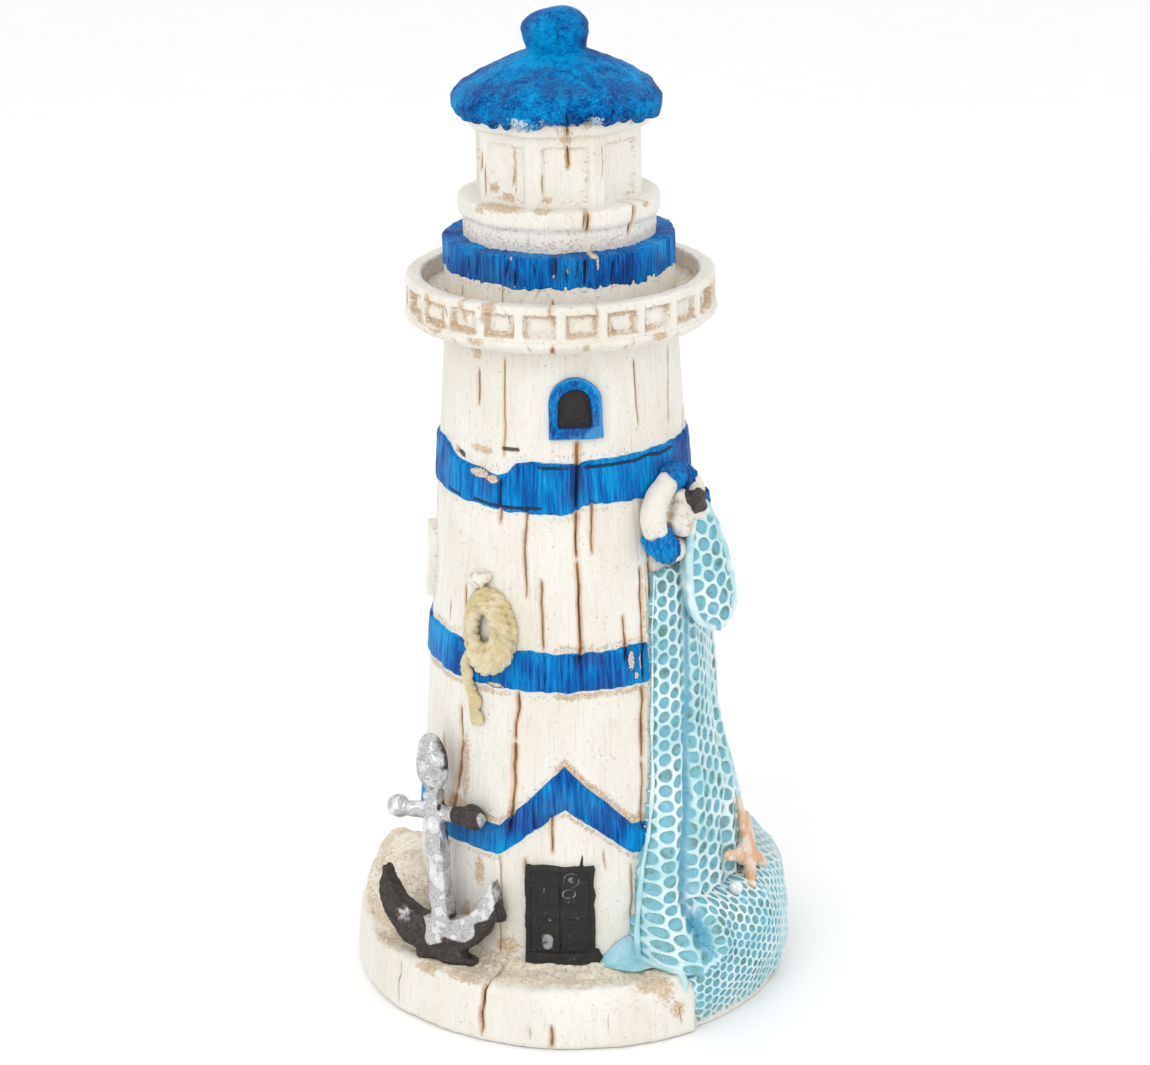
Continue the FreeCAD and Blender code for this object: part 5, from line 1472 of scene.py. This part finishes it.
# ---------------------------------------------------------------- tubes and ropes
def tube(name, path, radii, sides=10):
    """A round bar along the path: a ring drawn out point by point, with closed ends."""
    path = np.array(path, float)
    radii = np.broadcast_to(np.asarray(radii, float), len(path))
    clear()
    bpy.ops.mesh.primitive_circle_add(vertices=sides, radius=1, fill_type="NGON")
    piece = bpy.context.object
    piece.name = piece.data.name = name
    edit(piece, "FACE")
    for _ in path[1:]:
        bpy.ops.mesh.extrude_region_move(TRANSFORM_OT_translate={"value": (0, 0, 1)})
    bpy.ops.mesh.select_all(action="SELECT")
    bpy.ops.mesh.normals_make_consistent(inside=False)
    done()
    co = points(piece)
    level = np.rint(co[:, 2]).astype(int)
    ahead = np.gradient(path, axis=0)
    ahead /= np.linalg.norm(ahead, axis=1)[:, None] + 1e-9
    side = np.cross(ahead[0], [0.3, 0.5, 0.81])
    frames = []
    for a in ahead:
        side = side - a * side.dot(a)
        side = side / (np.linalg.norm(side) + 1e-9)
        frames.append((side, np.cross(a, side)))
    first = np.array([f[0] for f in frames])[level]
    second = np.array([f[1] for f in frames])[level]
    r = radii[level][:, None]
    put(piece, path[level] + r * (co[:, 0:1] * first + co[:, 1:2] * second))
    return piece


def resample(path, step, closed=False):
    path = np.array(path, float)
    length = np.concatenate([[0], np.cumsum(np.linalg.norm(np.diff(path, axis=0), axis=1))])
    at = np.linspace(0, length[-1], max(3, int(length[-1] / step)) + 1)
    return np.stack([np.interp(at, length, path[:, k]) for k in range(3)], axis=1)


def rope(name, path, radius, lay=3.6, strands=3, step=0.42, start=0.0):
    """Twisted rope on a path: its strands, each a bar, joined."""
    path = resample(path, step)
    ahead = np.gradient(path, axis=0)
    ahead /= np.linalg.norm(ahead, axis=1)[:, None]
    out = np.array([0, 0, 1.0])
    side = np.cross(ahead, out)
    side /= np.linalg.norm(side, axis=1)[:, None] + 1e-9
    lift = np.cross(side, ahead)
    turn = start + TURN * np.arange(len(path)) * step / lay
    made = []
    for k in range(strands):
        a = (turn + TURN * k / strands)[:, None]
        line = path + 0.54 * radius * (side * np.cos(a) + lift * np.sin(a))
        fat = 0.47 * radius * (1 + 0.10 * np.sin(turn * 1.7 + k))
        fat[:2] *= 0.6
        fat[-2:] *= 0.6
        made.append(tube(name, line, fat, 8))
    return join(name, *made)


def oval_path(across, up, turns, start, drift=0.0, wobble=0.0, lift=0.0, centre=(0, 0)):
    t = np.linspace(0, TURN * turns, int(90 * turns))
    a = math.radians(start) + t
    grow = 1 + drift * t / (TURN * turns) + wobble * np.sin(3.3 * a + 1)
    return np.stack([centre[0] + across * grow * np.cos(a), centre[1] + up * grow * np.sin(a), lift + 0 * a], axis=1)


COIL_AT = -33.0


def rope_hank():
    low, high = span("rope_coil")
    middle = (low.z + high.z) / 2
    made = [
        rope("turn_a", oval_path(3.9, 6.1, 1.02, 80, wobble=0.03, lift=0.8, centre=(0, 0.9)), 1.25, 4.2),
        rope("turn_b", oval_path(2.3, 3.6, 1.02, 200, wobble=0.04, lift=1.4, centre=(-0.5, 1.3)), 1.15, 4.0),
        rope("turn_c", oval_path(3.2, 5.2, 0.66, 215, wobble=0.05, lift=2.3, centre=(0.5, 0.7)), 1.1, 4.0),
        rope("turn_d", [(-3.1, -2.6, 1.6), (-1.2, -3.4, 2.3), (0.9, -3.2, 2.6), (2.6, -1.6, 2.5), (3.3, 0.8, 2.1)], 1.1, 4.0),
        rope("turn_e", [(-2.2, 5.6, 1.7), (-0.4, 6.4, 2.3), (1.4, 5.0, 2.7), (2.5, 2.6, 2.6)], 1.05, 4.0),
        rope("turn_f", [(-2.4, -4.3, 1.5), (0.0, -5.3, 2.2), (2.3, -4.6, 2.2), (4.0, -2.4, 1.5)], 1.1, 4.0),
    ]
    coil = join("rope_hank", *made)
    finish_rope(coil, COIL_AT, middle, "rope_coil")
    tail = rope("rope_end", [(-3.6, -3.4, 1.2), (-4.6, -6.0, 1.0), (-3.9, -8.4, 1.0), (-3.0, -10.6, 0.8), (-2.5, -13.2, 0.8), (-2.4, -15.8, 0.6)], 0.95, 3.0)
    knots = [lump("fray_a", (-3.9, -7.2, 1.0), (0.9, 1.2, 0.8), 20, 3), lump("fray_b", (-2.3, -12.0, 0.6), (0.9, 1.4, 0.7), -10, 3),
             lump("fray_c", (-1.7, -14.6, 0.5), (0.7, 1.2, 0.6), 10, 3), lump("fray_d", (-2.9, -14.4, 0.6), (0.6, 1.5, 0.6), -8, 3)]
    tail = join("rope_tail_cast", tail, *knots)
    finish_rope(tail, COIL_AT, middle, "rope_tail")
    peg = [lump("peg_a", (-2.2, 8.9, 0.9), (1.2, 1.4, 1.0), 0, 3), lump("peg_b", (-0.9, 9.6, 0.7), (1.3, 0.9, 0.9), 20, 3),
           lump("peg_c", (-3.2, 9.6, 0.6), (0.9, 0.8, 0.8), 0, 3)]
    peg = smoothed(recast(join("rope_peg_cast", *peg), 0.2), 2)
    co = points(peg)
    push(peg, 0.25 * lumps(co, 1.0, 221))
    blank(peg)
    mark(peg, "worn", np.clip(0.3 + 0.5 * lumps(co, 1.2, 222), 0, 1))
    wrap_on_tower(peg, COIL_AT, middle)
    finished(peg, cream_trim, "cream_resin", "rope_peg")


def finish_rope(piece, azimuth, middle, node):
    co = points(piece)
    recast(piece, 0.12)
    co = points(piece)
    push(piece, 0.08 * lumps(co, 0.9, 223))
    co, out = points(piece), normals(piece)
    # Painted shade: creases between the strands, faces turned in towards the wall, and turns lying near it, with a
    # little noise.
    sink = ease(0.0, 0.07, hollows(piece)) + 0.35 - 0.45 * out[:, 2] + 0.3 * ease(1.0, 0.0, co[:, 2]) + 0.15 * lumps(co, 1.0, 225)
    mark(piece, "sink", np.clip(sink, 0, 1))
    wrap_on_tower(piece, azimuth, middle)
    finished(piece, rope_paint, "rope_straw", node, smooth=70)


# ---------------------------------------------------------------- netting
def honeycomb(name, side, columns, rows, depth):
    """Flat netting: one sunk hexagon, repeated and joined. x right, y up, z out, centred."""
    clear()
    bpy.ops.mesh.primitive_circle_add(vertices=6, radius=side, fill_type="NGON")
    piece = bpy.context.object
    piece.name = piece.data.name = name
    corners = np.radians(np.arange(6) * 60)
    put(piece, np.stack([side * np.cos(corners), side * np.sin(corners), 0 * corners], axis=1))
    edit(piece, "FACE")
    bpy.ops.mesh.inset(thickness=0.085 * side, depth=0)
    bpy.ops.mesh.inset(thickness=0.10 * side, depth=-0.8 * depth)
    bpy.ops.mesh.inset(thickness=0.22 * side, depth=-0.2 * depth)
    done()
    up = math.sqrt(3) * side
    for count, offset in ((2, (1.5 * side, up / 2, 0)), (rows, (0, up, 0)), (columns // 2, (3 * side, 0, 0))):
        array = piece.modifiers.new("repeat", "ARRAY")
        array.use_relative_offset = False
        array.use_constant_offset = True
        array.constant_offset_displace = offset
        array.count = count
    apply_all(piece)
    edit(piece)
    bpy.ops.mesh.remove_doubles(threshold=0.02 * side)
    bpy.ops.mesh.normals_make_consistent(inside=False)
    done()
    co = points(piece)
    middle = (co.max(axis=0) + co.min(axis=0)) / 2
    put(piece, co - np.array([middle[0], middle[1], 0]))
    if normals(piece)[:, 2].mean() < 0:
        edit(piece)
        bpy.ops.mesh.flip_normals()
        done()
    return piece


def keep_faces(piece, inside):
    """Deletes the faces whose middle is outside."""
    edit(piece, "FACE")
    bpy.ops.mesh.select_all(action="DESELECT")
    done()
    mesh = piece.data
    centre = np.empty(len(mesh.polygons) * 3)
    mesh.polygons.foreach_get("center", centre)
    centre = centre.reshape(-1, 3)
    mesh.polygons.foreach_set("select", ~inside(centre[:, 0], centre[:, 1]))
    bpy.ops.object.mode_set(mode="EDIT")
    bpy.ops.mesh.delete(type="FACE")
    bpy.ops.mesh.select_all(action="SELECT")
    bpy.ops.mesh.delete_loose(use_verts=True, use_edges=True, use_faces=False)
    done()
    return piece


def draw_border_in(piece, depth):
    """Turns the border of a flat sheet down by depth."""
    edit(piece, "EDGE")
    bpy.ops.mesh.select_all(action="DESELECT")
    bpy.ops.mesh.select_non_manifold(extend=False)
    bpy.ops.mesh.extrude_region_move(TRANSFORM_OT_translate={"value": (0, 0, -depth)})
    done()


NET_TOP = span("net_drape")[1].z
NET_SHOULDER_Z = span("net_drape")[0].z
NET_SHOULDER = FOOT_R + 0.42 * (BASE_R - FOOT_R)
NET_FLARE = ((0.0, 0.0), (0.14, 0.2), (0.29, 0.48), (0.38, 0.72), (0.5, 0.95), (1.0, 1.0))
NET_LEFT = ((12.0, 22.0), (15.0, 22.0), (20.0, 23.8), (26.5, 26.0), (31.0, 28.8), (35.5, 31.0), (41.0, 33.2), (51.0, 34.6), (61.0, 36.4), (67.0, 37.3), (76.0, 40.2))
NET_RIGHT = ((12.0, 117.0), (60.0, 116.0), (70.0, 108.0), (76.0, 100.0))
GROOVE = ((13.0, 37.4), (17.2, 38.5), (21.3, 38.9), (28.0, 40.4), (33.6, 44.0), (38.4, 46.8), (45.9, 51.1), (56.4, 54.8), (63.2, 56.0), (73.1, 59.1))
SECOND_FOLD = ((14.0, 58.0), (22.0, 60.0), (30.0, 63.0), (34.0, 71.0), (42.0, 78.0), (56.0, 84.0), (74.0, 88.0))


def line_at(stops, z):
    stops = np.array(stops)
    return np.interp(z, stops[:, 0], stops[:, 1])


def drape_radius(z):
    share = np.clip((z - NET_SHOULDER_Z) / (NET_TOP - NET_SHOULDER_Z), 0, 1)
    flare = np.interp(share, *np.array(NET_FLARE).T)
    close = tower_radius(z) + 1.25
    return NET_SHOULDER * (1 - flare) + close * flare


def drape_skin(azimuth, z):
    """Radius of the hanging net, and how much of each fold there is."""
    radius = drape_radius(z) + (3.4 + 4.4 * ease(25, 33, azimuth)) * ease(20, 10.8, z) * ease(44, 38, azimuth)
    arc = np.radians(apart(azimuth, line_at(GROOVE, z))) * radius
    groove = np.exp(-((arc / 1.15) ** 2)) * ease(9, 15, z)
    ridge = np.exp(-(((arc - 2.4) / 1.5) ** 2)) + 0.6 * np.exp(-(((arc + 2.4) / 1.6) ** 2))
    arc_2 = np.radians(apart(azimuth, line_at(SECOND_FOLD, z))) * radius
    groove_2 = np.exp(-((arc_2 / 1.3) ** 2)) * ease(60, 38, z)
    ridge_2 = np.exp(-(((arc_2 - 2.6) / 1.8) ** 2))
    arc_3 = np.radians(apart(azimuth, 100 + 0.1 * z)) * radius
    groove_3 = np.exp(-((arc_3 / 1.4) ** 2))
    flat = np.stack([azimuth * 0.44, z * 0.35, 0 * z], axis=1)
    sway = 0.55 * lumps(flat, 5.5, 231)
    from_left = np.radians(apart(azimuth, line_at(NET_LEFT, z))) * radius
    from_right = -np.radians(apart(azimuth, line_at(NET_RIGHT, z))) * radius
    inward = np.minimum(from_left, from_right)
    wall = np.maximum(tower_radius(z) + 0.45, 0)
    swell = ease(-0.4, 3.6, inward) ** 0.75
    full = radius + 0.7 * ridge - 1.35 * groove + 0.55 * ridge_2 - 0.8 * groove_2 - 0.9 * groove_3 + sway
    return wall + (np.maximum(full, wall + 0.85) - wall) * swell, groove, inward


def net_drape():
    """The netting that hangs down the tower and flares over the heap."""
    span_az = 100.0
    mean = 25.5
    side = 1.42
    width = math.radians(span_az) * mean
    foot, top = 8.2, NET_TOP + 0.6
    columns = 2 * int(width / (3 * side) / 1 + 1)
    rows = int((top - foot) / (math.sqrt(3) * side)) + 2
    piece = honeycomb("net_drape_cast", side, columns, rows, 0.80)
    middle = (foot + top) / 2
    az_mid = 70.0

    def where(x, y):
        z = middle + y
        z = z + 0.2 * np.clip(20 - z, 0, 20)
        lean = line_at(GROOVE, z) - 50.0
        squeeze = ease(100, 50, az_mid + np.degrees(x / mean))
        return az_mid + np.degrees(x / mean) + 0.55 * lean * squeeze, z

    def inside(x, y):
        azimuth, z = where(x, y)
        return (apart(azimuth, line_at(NET_LEFT, z)) > 0) & (apart(azimuth, line_at(NET_RIGHT, z)) < 0) & (z > 10.7 + 4 * (azimuth > 41)) & (z < top)

    keep_faces(piece, inside)
    draw_border_in(piece, 2.0)
    soft = piece.modifiers.new("soft", "SUBSURF")
    soft.levels = soft.render_levels = 1
    apply_all(piece)
    co = points(piece)
    azimuth, z = where(co[:, 0], co[:, 1])
    radius, groove, inward = drape_skin(azimuth, z)
    thin = 1 - 0.55 * ease(1.6, 0.2, inward)
    sunk = np.clip(co[:, 2] / -0.80, 0, 1)
    offset = np.where(co[:, 2] > -1.0, co[:, 2] * thin * (1 - 0.75 * groove), -3.5)
    flat = co * (1, 1, 0)
    azimuth = azimuth + 0.55 * lumps(flat, 1.9, 234)
    put(piece, unpolar(azimuth, radius + offset, z + 0.24 * lumps(flat, 1.9, 235)))
    co2 = points(piece)
    push(piece, 0.07 * lumps(co2, 1.4, 233))
    mark(piece, "sink", sunk * (1 - 0.5 * groove))
    mark(piece, "fold", np.clip(0.95 * groove * ease(18, 24, z) + 0.3 * ease(0.9, 0.2, inward), 0, 1))
    mark(piece, "deep", 0.9 * groove * ease(75, 60, z))
    mark(piece, "haze", 0.5 * ease(90, 50, azimuth) * ease(70, 40, z) * 0.4)
    return piece


def pile_point(azimuth, along):
    """Radius and height on the heap, from its foot (0) to its shoulder (1)."""
    stops = np.array([(0.0, 37.6, 0.9), (0.10, 38.3, 3.4), (0.28, 38.6, 7.0), (0.45, 38.5, 10.6), (0.62, 38.0, 13.9), (0.78, 36.4, 17.2), (0.90, 33.6, 19.0), (1.0, 28.5, 19.8)])
    in_a_bit = 0.7 * ease(60, 90, azimuth)
    return np.interp(along, stops[:, 0], stops[:, 1]) - in_a_bit, np.interp(along, stops[:, 0], stops[:, 2])


def heap_left(along):
    return np.interp(along, [0, 0.3, 0.42, 0.5, 0.6, 1], [31, 29.5, 30, 36, 37.5, 38])


def net_heap():
    """The netting heaped on the base and hanging over its rim."""
    side = 1.02
    length = 23.0
    mean = 36.5
    left, right = 24.0, 118.0
    width = math.radians(right - left) * mean
    columns = 2 * int(width / (3 * side) + 1)
    rows = int(length / (math.sqrt(3) * side)) + 2
    piece = honeycomb("net_heap_cast", side, columns, rows, 0.62)
    az_mid = (left + right) / 2

    def where(x, y):
        return az_mid + np.degrees(x / mean), y / length + 0.5

    def inside(x, y):
        azimuth, along = where(x, y)
        return (azimuth > heap_left(along)) & (azimuth < right) & (along > 0) & (along < 1)

    keep_faces(piece, inside)
    draw_border_in(piece, 2.0)
    soft = piece.modifiers.new("soft", "SUBSURF")
    soft.levels = soft.render_levels = 1
    apply_all(piece)
    co = points(piece)
    azimuth, along = where(co[:, 0], co[:, 1])
    radius, z = pile_point(azimuth, along)
    ahead, behind = pile_point(azimuth, along + 0.03), pile_point(azimuth, along - 0.03)
    run = np.stack([ahead[0] - behind[0], ahead[1] - behind[1]], axis=1)
    run /= np.linalg.norm(run, axis=1)[:, None] + 1e-9
    flat = np.stack([azimuth * 0.6, along * length, 0 * z], axis=1)
    swell = 0.75 * lumps(flat, 7.0, 241) + 0.35 * lumps(flat, 3.5, 242)
    from_edge = np.minimum(np.radians(azimuth - heap_left(along)) * radius, np.radians(right - azimuth) * radius)
    tuck = -1.6 * ease(2.6, 0, from_edge)
    fold_arc = np.radians(apart(azimuth, heap_left(along) + 0.6)) * radius
    fold = np.exp(-((fold_arc / 1.2) ** 2)) * ease(0.40, 0.52, along)
    high = 0.5 * np.exp(-(((fold_arc - 2.8) / 1.8) ** 2)) * ease(0.4, 0.6, along)
    hole = np.where(co[:, 2] > -0.9, co[:, 2] * (1 - 0.3 * fold), -2.6)
    offset = hole + swell + tuck - 1.0 * fold + high
    azimuth = azimuth + 0.28 * lumps(flat, 1.5, 243)
    put(piece, unpolar(azimuth, radius + run[:, 1] * offset, z - run[:, 0] * offset + 0.18 * lumps(flat, 1.5, 244)))
    mark(piece, "sink", np.clip(co[:, 2] / -0.62, 0, 1) * (1 - 0.35 * ease(60, 85, azimuth)))
    mark(piece, "fold", np.clip(0.9 * fold, 0, 1))
    mark(piece, "deep", 0.9 * fold)
    mark(piece, "haze", 0.35 + 0.5 * ease(70, 95, azimuth) + 0.3 * ease(0.3, 0.0, along))
    return piece


def net_edges():
    """The rolled hems of the netting, from its top down both sides to the heap's foot."""
    z = np.linspace(75.6, 11.2, 130)

    def down(stops, inset):
        azimuth = line_at(stops, z) + inset
        return unpolar(azimuth, drape_skin(azimuth + 0.8 * np.sign(inset), z)[0] - 0.1, z)

    def over_rim(azimuth_at, alongs):
        spots_on = [(azimuth_at(along), *pile_point(np.array(azimuth_at(along)), along)) for along in alongs]
        azimuth, radius, level = np.array(spots_on, float).T
        return unpolar(azimuth, radius - 0.9, level)

    foot_azimuth = np.linspace(line_at(NET_LEFT, 11.2) + 1.6, 29.6, 14)
    foot = unpolar(foot_azimuth, drape_skin(foot_azimuth, np.full(14, 11.4))[0] - 0.6, np.full(14, 11.1))
    left = np.concatenate([down(NET_LEFT, 0.6), foot, over_rim(heap_left, np.linspace(0.40, 0.24, 10))])
    right = np.concatenate([down(NET_RIGHT, -0.6)[:100], over_rim(lambda along: 117.6, np.linspace(0.95, 0.0, 40))])
    left, right = resample(left, 0.5), resample(right, 0.5)
    along_left = np.arange(len(left)) * 0.5
    thick = 0.27 + 0.10 * ease(50, 32, left[:, 2]) + 0.16 * ease(32, 20, left[:, 2]) + 0.10 * level_noise(along_left, 3, 251)
    piece = join("net_hems", tube("left_hem", left, thick, 10), tube("right_hem", right, 0.75, 10))
    recast(piece, 0.24, 2)
    co = points(piece)
    push(piece, 0.14 * lumps(co, 1.6, 253))
    mark(piece, "sink", 0 * co[:, 0])
    mark(piece, "fold", 0.15 + 0.2 * lumps(co, 2.2, 255) + 0.3 * ease(30, 20, co[:, 2]))
    mark(piece, "deep", np.clip(0.3 * lumps(co, 3.0, 254), 0, 1))
    mark(piece, "haze", 0.3 + 0 * co[:, 0])
    return piece


def hanging_net():
    drape, heap, edges = net_drape(), net_heap(), net_edges()
    finished(drape, net_paint, "net_aqua", "net_drape", smooth=75)
    finished(heap, net_paint, "net_aqua", "net_pile", smooth=75)
    finished(edges, net_paint, "net_aqua", smooth=60)


FLAP_AT = 63.0
FLAP_FACING = 41.0


def flap_half_width(y):
    """Half the width of the hanging fold, measured down from its top."""
    return np.interp(-y, [0, 1.5, 4, 8, 12, 15, 17.5, 19.2, 20.2], [1.4, 2.1, 3.0, 3.9, 4.5, 4.6, 4.1, 2.9, 1.0])


def net_flap():
    """The fold of net that hangs in front, under the peg."""
    side, length = 1.62, 20.2
    top = span("net_flap")[1].z
    piece = honeycomb("net_flap_cast", side, 6, 9, 0.85)
    co = points(piece)
    put(piece, co - np.array([0, length / 2, 0]))
    keep_faces(piece, lambda x, y: (np.abs(x) < flap_half_width(y) + 0.5) & (y < 0.3) & (y > -length))
    draw_border_in(piece, 1.6)
    soft = piece.modifiers.new("soft", "SUBSURF")
    soft.levels = soft.render_levels = 2
    apply_all(piece)
    co = points(piece)
    sunk = np.clip(co[:, 2] / -0.75, 0, 1)
    half = flap_half_width(co[:, 1])
    flat = co * (1, 1, 0)
    x = np.clip(co[:, 0] + 0.32 * lumps(flat, 2.0, 264) * (co[:, 2] > -0.9), -half, half)
    crown = np.sqrt(np.clip(1 - (x / (half + 0.25)) ** 2, 0, 1)) * 2.0
    z = crown + co[:, 2] * ease(0, 0.35, 1 - np.abs(x) / (half + 0.1))
    z = np.where(co[:, 2] < -0.9, -0.4, z) + 0.16 * lumps(co, 2.2, 261)
    put(piece, np.stack([x, co[:, 1] + 0.32 * lumps(flat, 2.0, 265), z], axis=1))
    rim_y = np.concatenate([np.linspace(0.2, -20.0, 60), np.linspace(-20.0, 0.2, 60)])
    side_sign = np.concatenate([-np.ones(60), np.ones(60)])
    rim = np.stack([side_sign * (flap_half_width(rim_y) + 0.1), rim_y, 0.5 + 0 * rim_y], axis=1)
    hem = tube("flap_hem", resample(rim, 0.5), 0.75, 8)
    back = slab("flap_back", [(s * (flap_half_width(np.array(y)) - 0.1), y) for s, y in zip(side_sign[::6], rim_y[::6])], -2.4, 0.6)
    knot = lump("flap_knot", (-0.2, 0.6, 1.0), (1.7, 1.5, 1.5), 0, 4)
    knob = lump("flap_knob", (-1.3, 1.5, 1.4), (1.1, 0.8, 0.9), 20, 4)
    extra = recast(join("flap_hem", hem, back, knot, knob), 0.22, 2)
    co = points(extra)
    push(extra, 0.14 * lumps(co, 1.3, 262))
    mark(extra, "fold", np.clip(0.4 + 0.4 * lumps(co, 1.6, 263), 0, 1))
    mark(piece, "sink", sunk)
    mark(extra, "sink", 0 * points(extra)[:, 0])
    mark(piece, "fold", 0 * sunk)
    for part, name in ((piece, "net_flap_cast"), (extra, "net_flap_hem")):
        part.name = part.data.name = name
        co = points(part)
        lean = math.radians(6.0)
        down = -co[:, 1]
        out = 3.8 + co[:, 2] * math.cos(lean) + down * math.sin(lean) * 0.6
        z = top + 0.2 - down
        azimuth = FLAP_AT + 0.12 * down
        stem = unpolar(azimuth, tower_radius(z) + 3.2, z)
        facing = math.radians(FLAP_FACING)
        right, towards = np.array([math.cos(facing), math.sin(facing), 0]), np.array([math.sin(facing), -math.cos(facing), 0])
        put(part, stem + co[:, 0:1] * right + (out - 3.2)[:, None] * towards)
        n = len(co)
        mark(part, "deep", np.zeros(n))
        mark(part, "haze", np.zeros(n))
    finished(piece, net_paint, "net_aqua", "net_flap", smooth=75)
    finished(extra, net_paint, "net_aqua", smooth=60)


def net_fold():
    """The plain fold of net on the base beside the door."""
    piece = smoothed(cast_copy("net_plain_fold", ["net_hem"], 0.35), 4)
    co = points(piece)
    push(piece, 0.45 * lumps(co, 3.2, 271) + 0.2 * lumps(co, 1.4, 272))
    co = points(piece)
    azimuth, radius, z = polar(co)
    taper = ease(8.0, 22.0, azimuth)
    inner = tower_radius(BASE_TOP) + 0.3
    radius = inner + (radius - inner) * (0.25 + 0.85 * taper)
    put(piece, unpolar(azimuth, radius, BASE_TOP - 0.2 + (z - BASE_TOP + 0.2) * (0.16 + 0.84 * taper)))
    mark(piece, "sink", np.zeros(len(co)))
    mark(piece, "fold", np.ones(len(co)))
    mark(piece, "deep", np.clip(0.5 + 0.3 * lumps(co, 4.0, 273), 0, 1))
    mark(piece, "haze", np.clip(0.8 * ease(18, 23, azimuth) * ease(2.5, 0.5, z - BASE_TOP), 0, 1))
    return finished(piece, net_paint, "net_aqua", "net_hem", smooth=60)


# ---------------------------------------------------------------- starfish and pearl
def starfish():
    piece = smoothed(cast_copy("starfish_cast", ["starfish"], 0.24), 2)
    co = points(piece)
    low, high = span("starfish")
    middle = (low + high) / 2
    put(piece, np.stack([middle.x - 0.4 + (co[:, 0] - middle.x) * 0.80, co[:, 1], low.z + (co[:, 2] - low.z) * 1.08], axis=1))
    co = points(piece)
    bumps = ease(0.15, 0.7, lumps(co, 0.9, 281))
    push(piece, 0.25 * lumps(co, 2.0, 282) + 0.35 * bumps)
    mark(piece, "sink", 1 - bumps)
    return finished(piece, star_paint, "star_orange", "starfish", smooth=60)


def pearl():
    low, high = span("pearl")
    piece = lump("pearl_cast", (low + high) / 2, (high - low) / 2, 0, 5)
    co = points(piece)
    push(piece, 0.16 * lumps(co, 1.4, 291) + 0.05 * lumps(co, 0.6, 292))
    return finished(piece, pearl_paint, "pearl_white", "pearl")


# ---------------------------------------------------------------- finishes in use, making and staging
blue_gloss = make_blue("glossy_blue", upright=False)
white_paint = make_cream("white_paint", grain=0.35, wash=0.5)

for make in (tower_wall, upper_stripe, middle_stripe, gable_stripe, plank_base, gallery_rim, gallery_wall, lantern_foot, collar_band,
             lantern_ring, lantern_house, cornice, roof_cap, roof_ball, front_window, side_window, door, sand_bank, anchor, life_ring,
             rope_hank, hanging_net, net_flap, net_fold, starfish, pearl):
    make()
for node in ("base_pad",):
    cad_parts[node].data.materials.clear()
    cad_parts[node].data.materials.append(felt)


def stage_floor():
    clear()
    bpy.ops.mesh.primitive_plane_add(size=24, location=(0, 0, 0))
    floor = bpy.context.object
    floor.name = "stage_floor"
    floor.data.materials.append(make_plain("pale_floor", (0.93, 0.93, 0.93), (0.92, 0.92, 0.92), 0.05, 0.01, own_places=False))


def soft_light(name, place, size, power, aim=(0, 0, 0.08), colour=(1, 1, 1)):
    clear()
    bpy.ops.object.light_add(type="AREA", location=place)
    light = bpy.context.object
    light.name = light.data.name = name
    light.data.size = size
    light.data.energy = power
    light.data.color = colour
    light.rotation_euler = (Vector(aim) - Vector(place)).to_track_quat("-Z", "Y").to_euler()


def camera():
    clear()
    bpy.ops.object.camera_add(location=(0.00171, -0.460, 0.2411))
    eye = bpy.context.object
    pitch, roll = math.radians(19.61), math.radians(-0.92)
    right, up = Vector((1, 0, 0)), Vector((0, math.sin(pitch), math.cos(pitch)))
    back = Vector((0, -math.cos(pitch), math.sin(pitch)))
    turn = Matrix((right, up, back)).transposed() @ Matrix.Rotation(roll, 3, "Z")
    eye.rotation_euler = turn.to_euler()
    eye.data.lens = 90.91
    eye.data.sensor_width = 36
    eye.data.sensor_fit = "HORIZONTAL"
    eye.data.clip_start = 0.01
    eye.data.dof.use_dof = False
    bpy.context.scene.camera = eye


stage_floor()
soft_light("key", (-0.45, -0.85, 0.75), 0.7, 3.0)
soft_light("fill", (0.8, -0.5, 0.45), 0.8, 0.8)
soft_light("top", (0.0, 0.15, 0.9), 0.8, 0.8)
world = bpy.data.worlds.new("studio")
world.use_nodes = True
world.node_tree.nodes["Background"].inputs["Color"].default_value = (1, 1, 1, 1)
world.node_tree.nodes["Background"].inputs["Strength"].default_value = 1.0
bpy.context.scene.world = world
bpy.context.scene.view_settings.view_transform = "Standard"
camera()
clear()
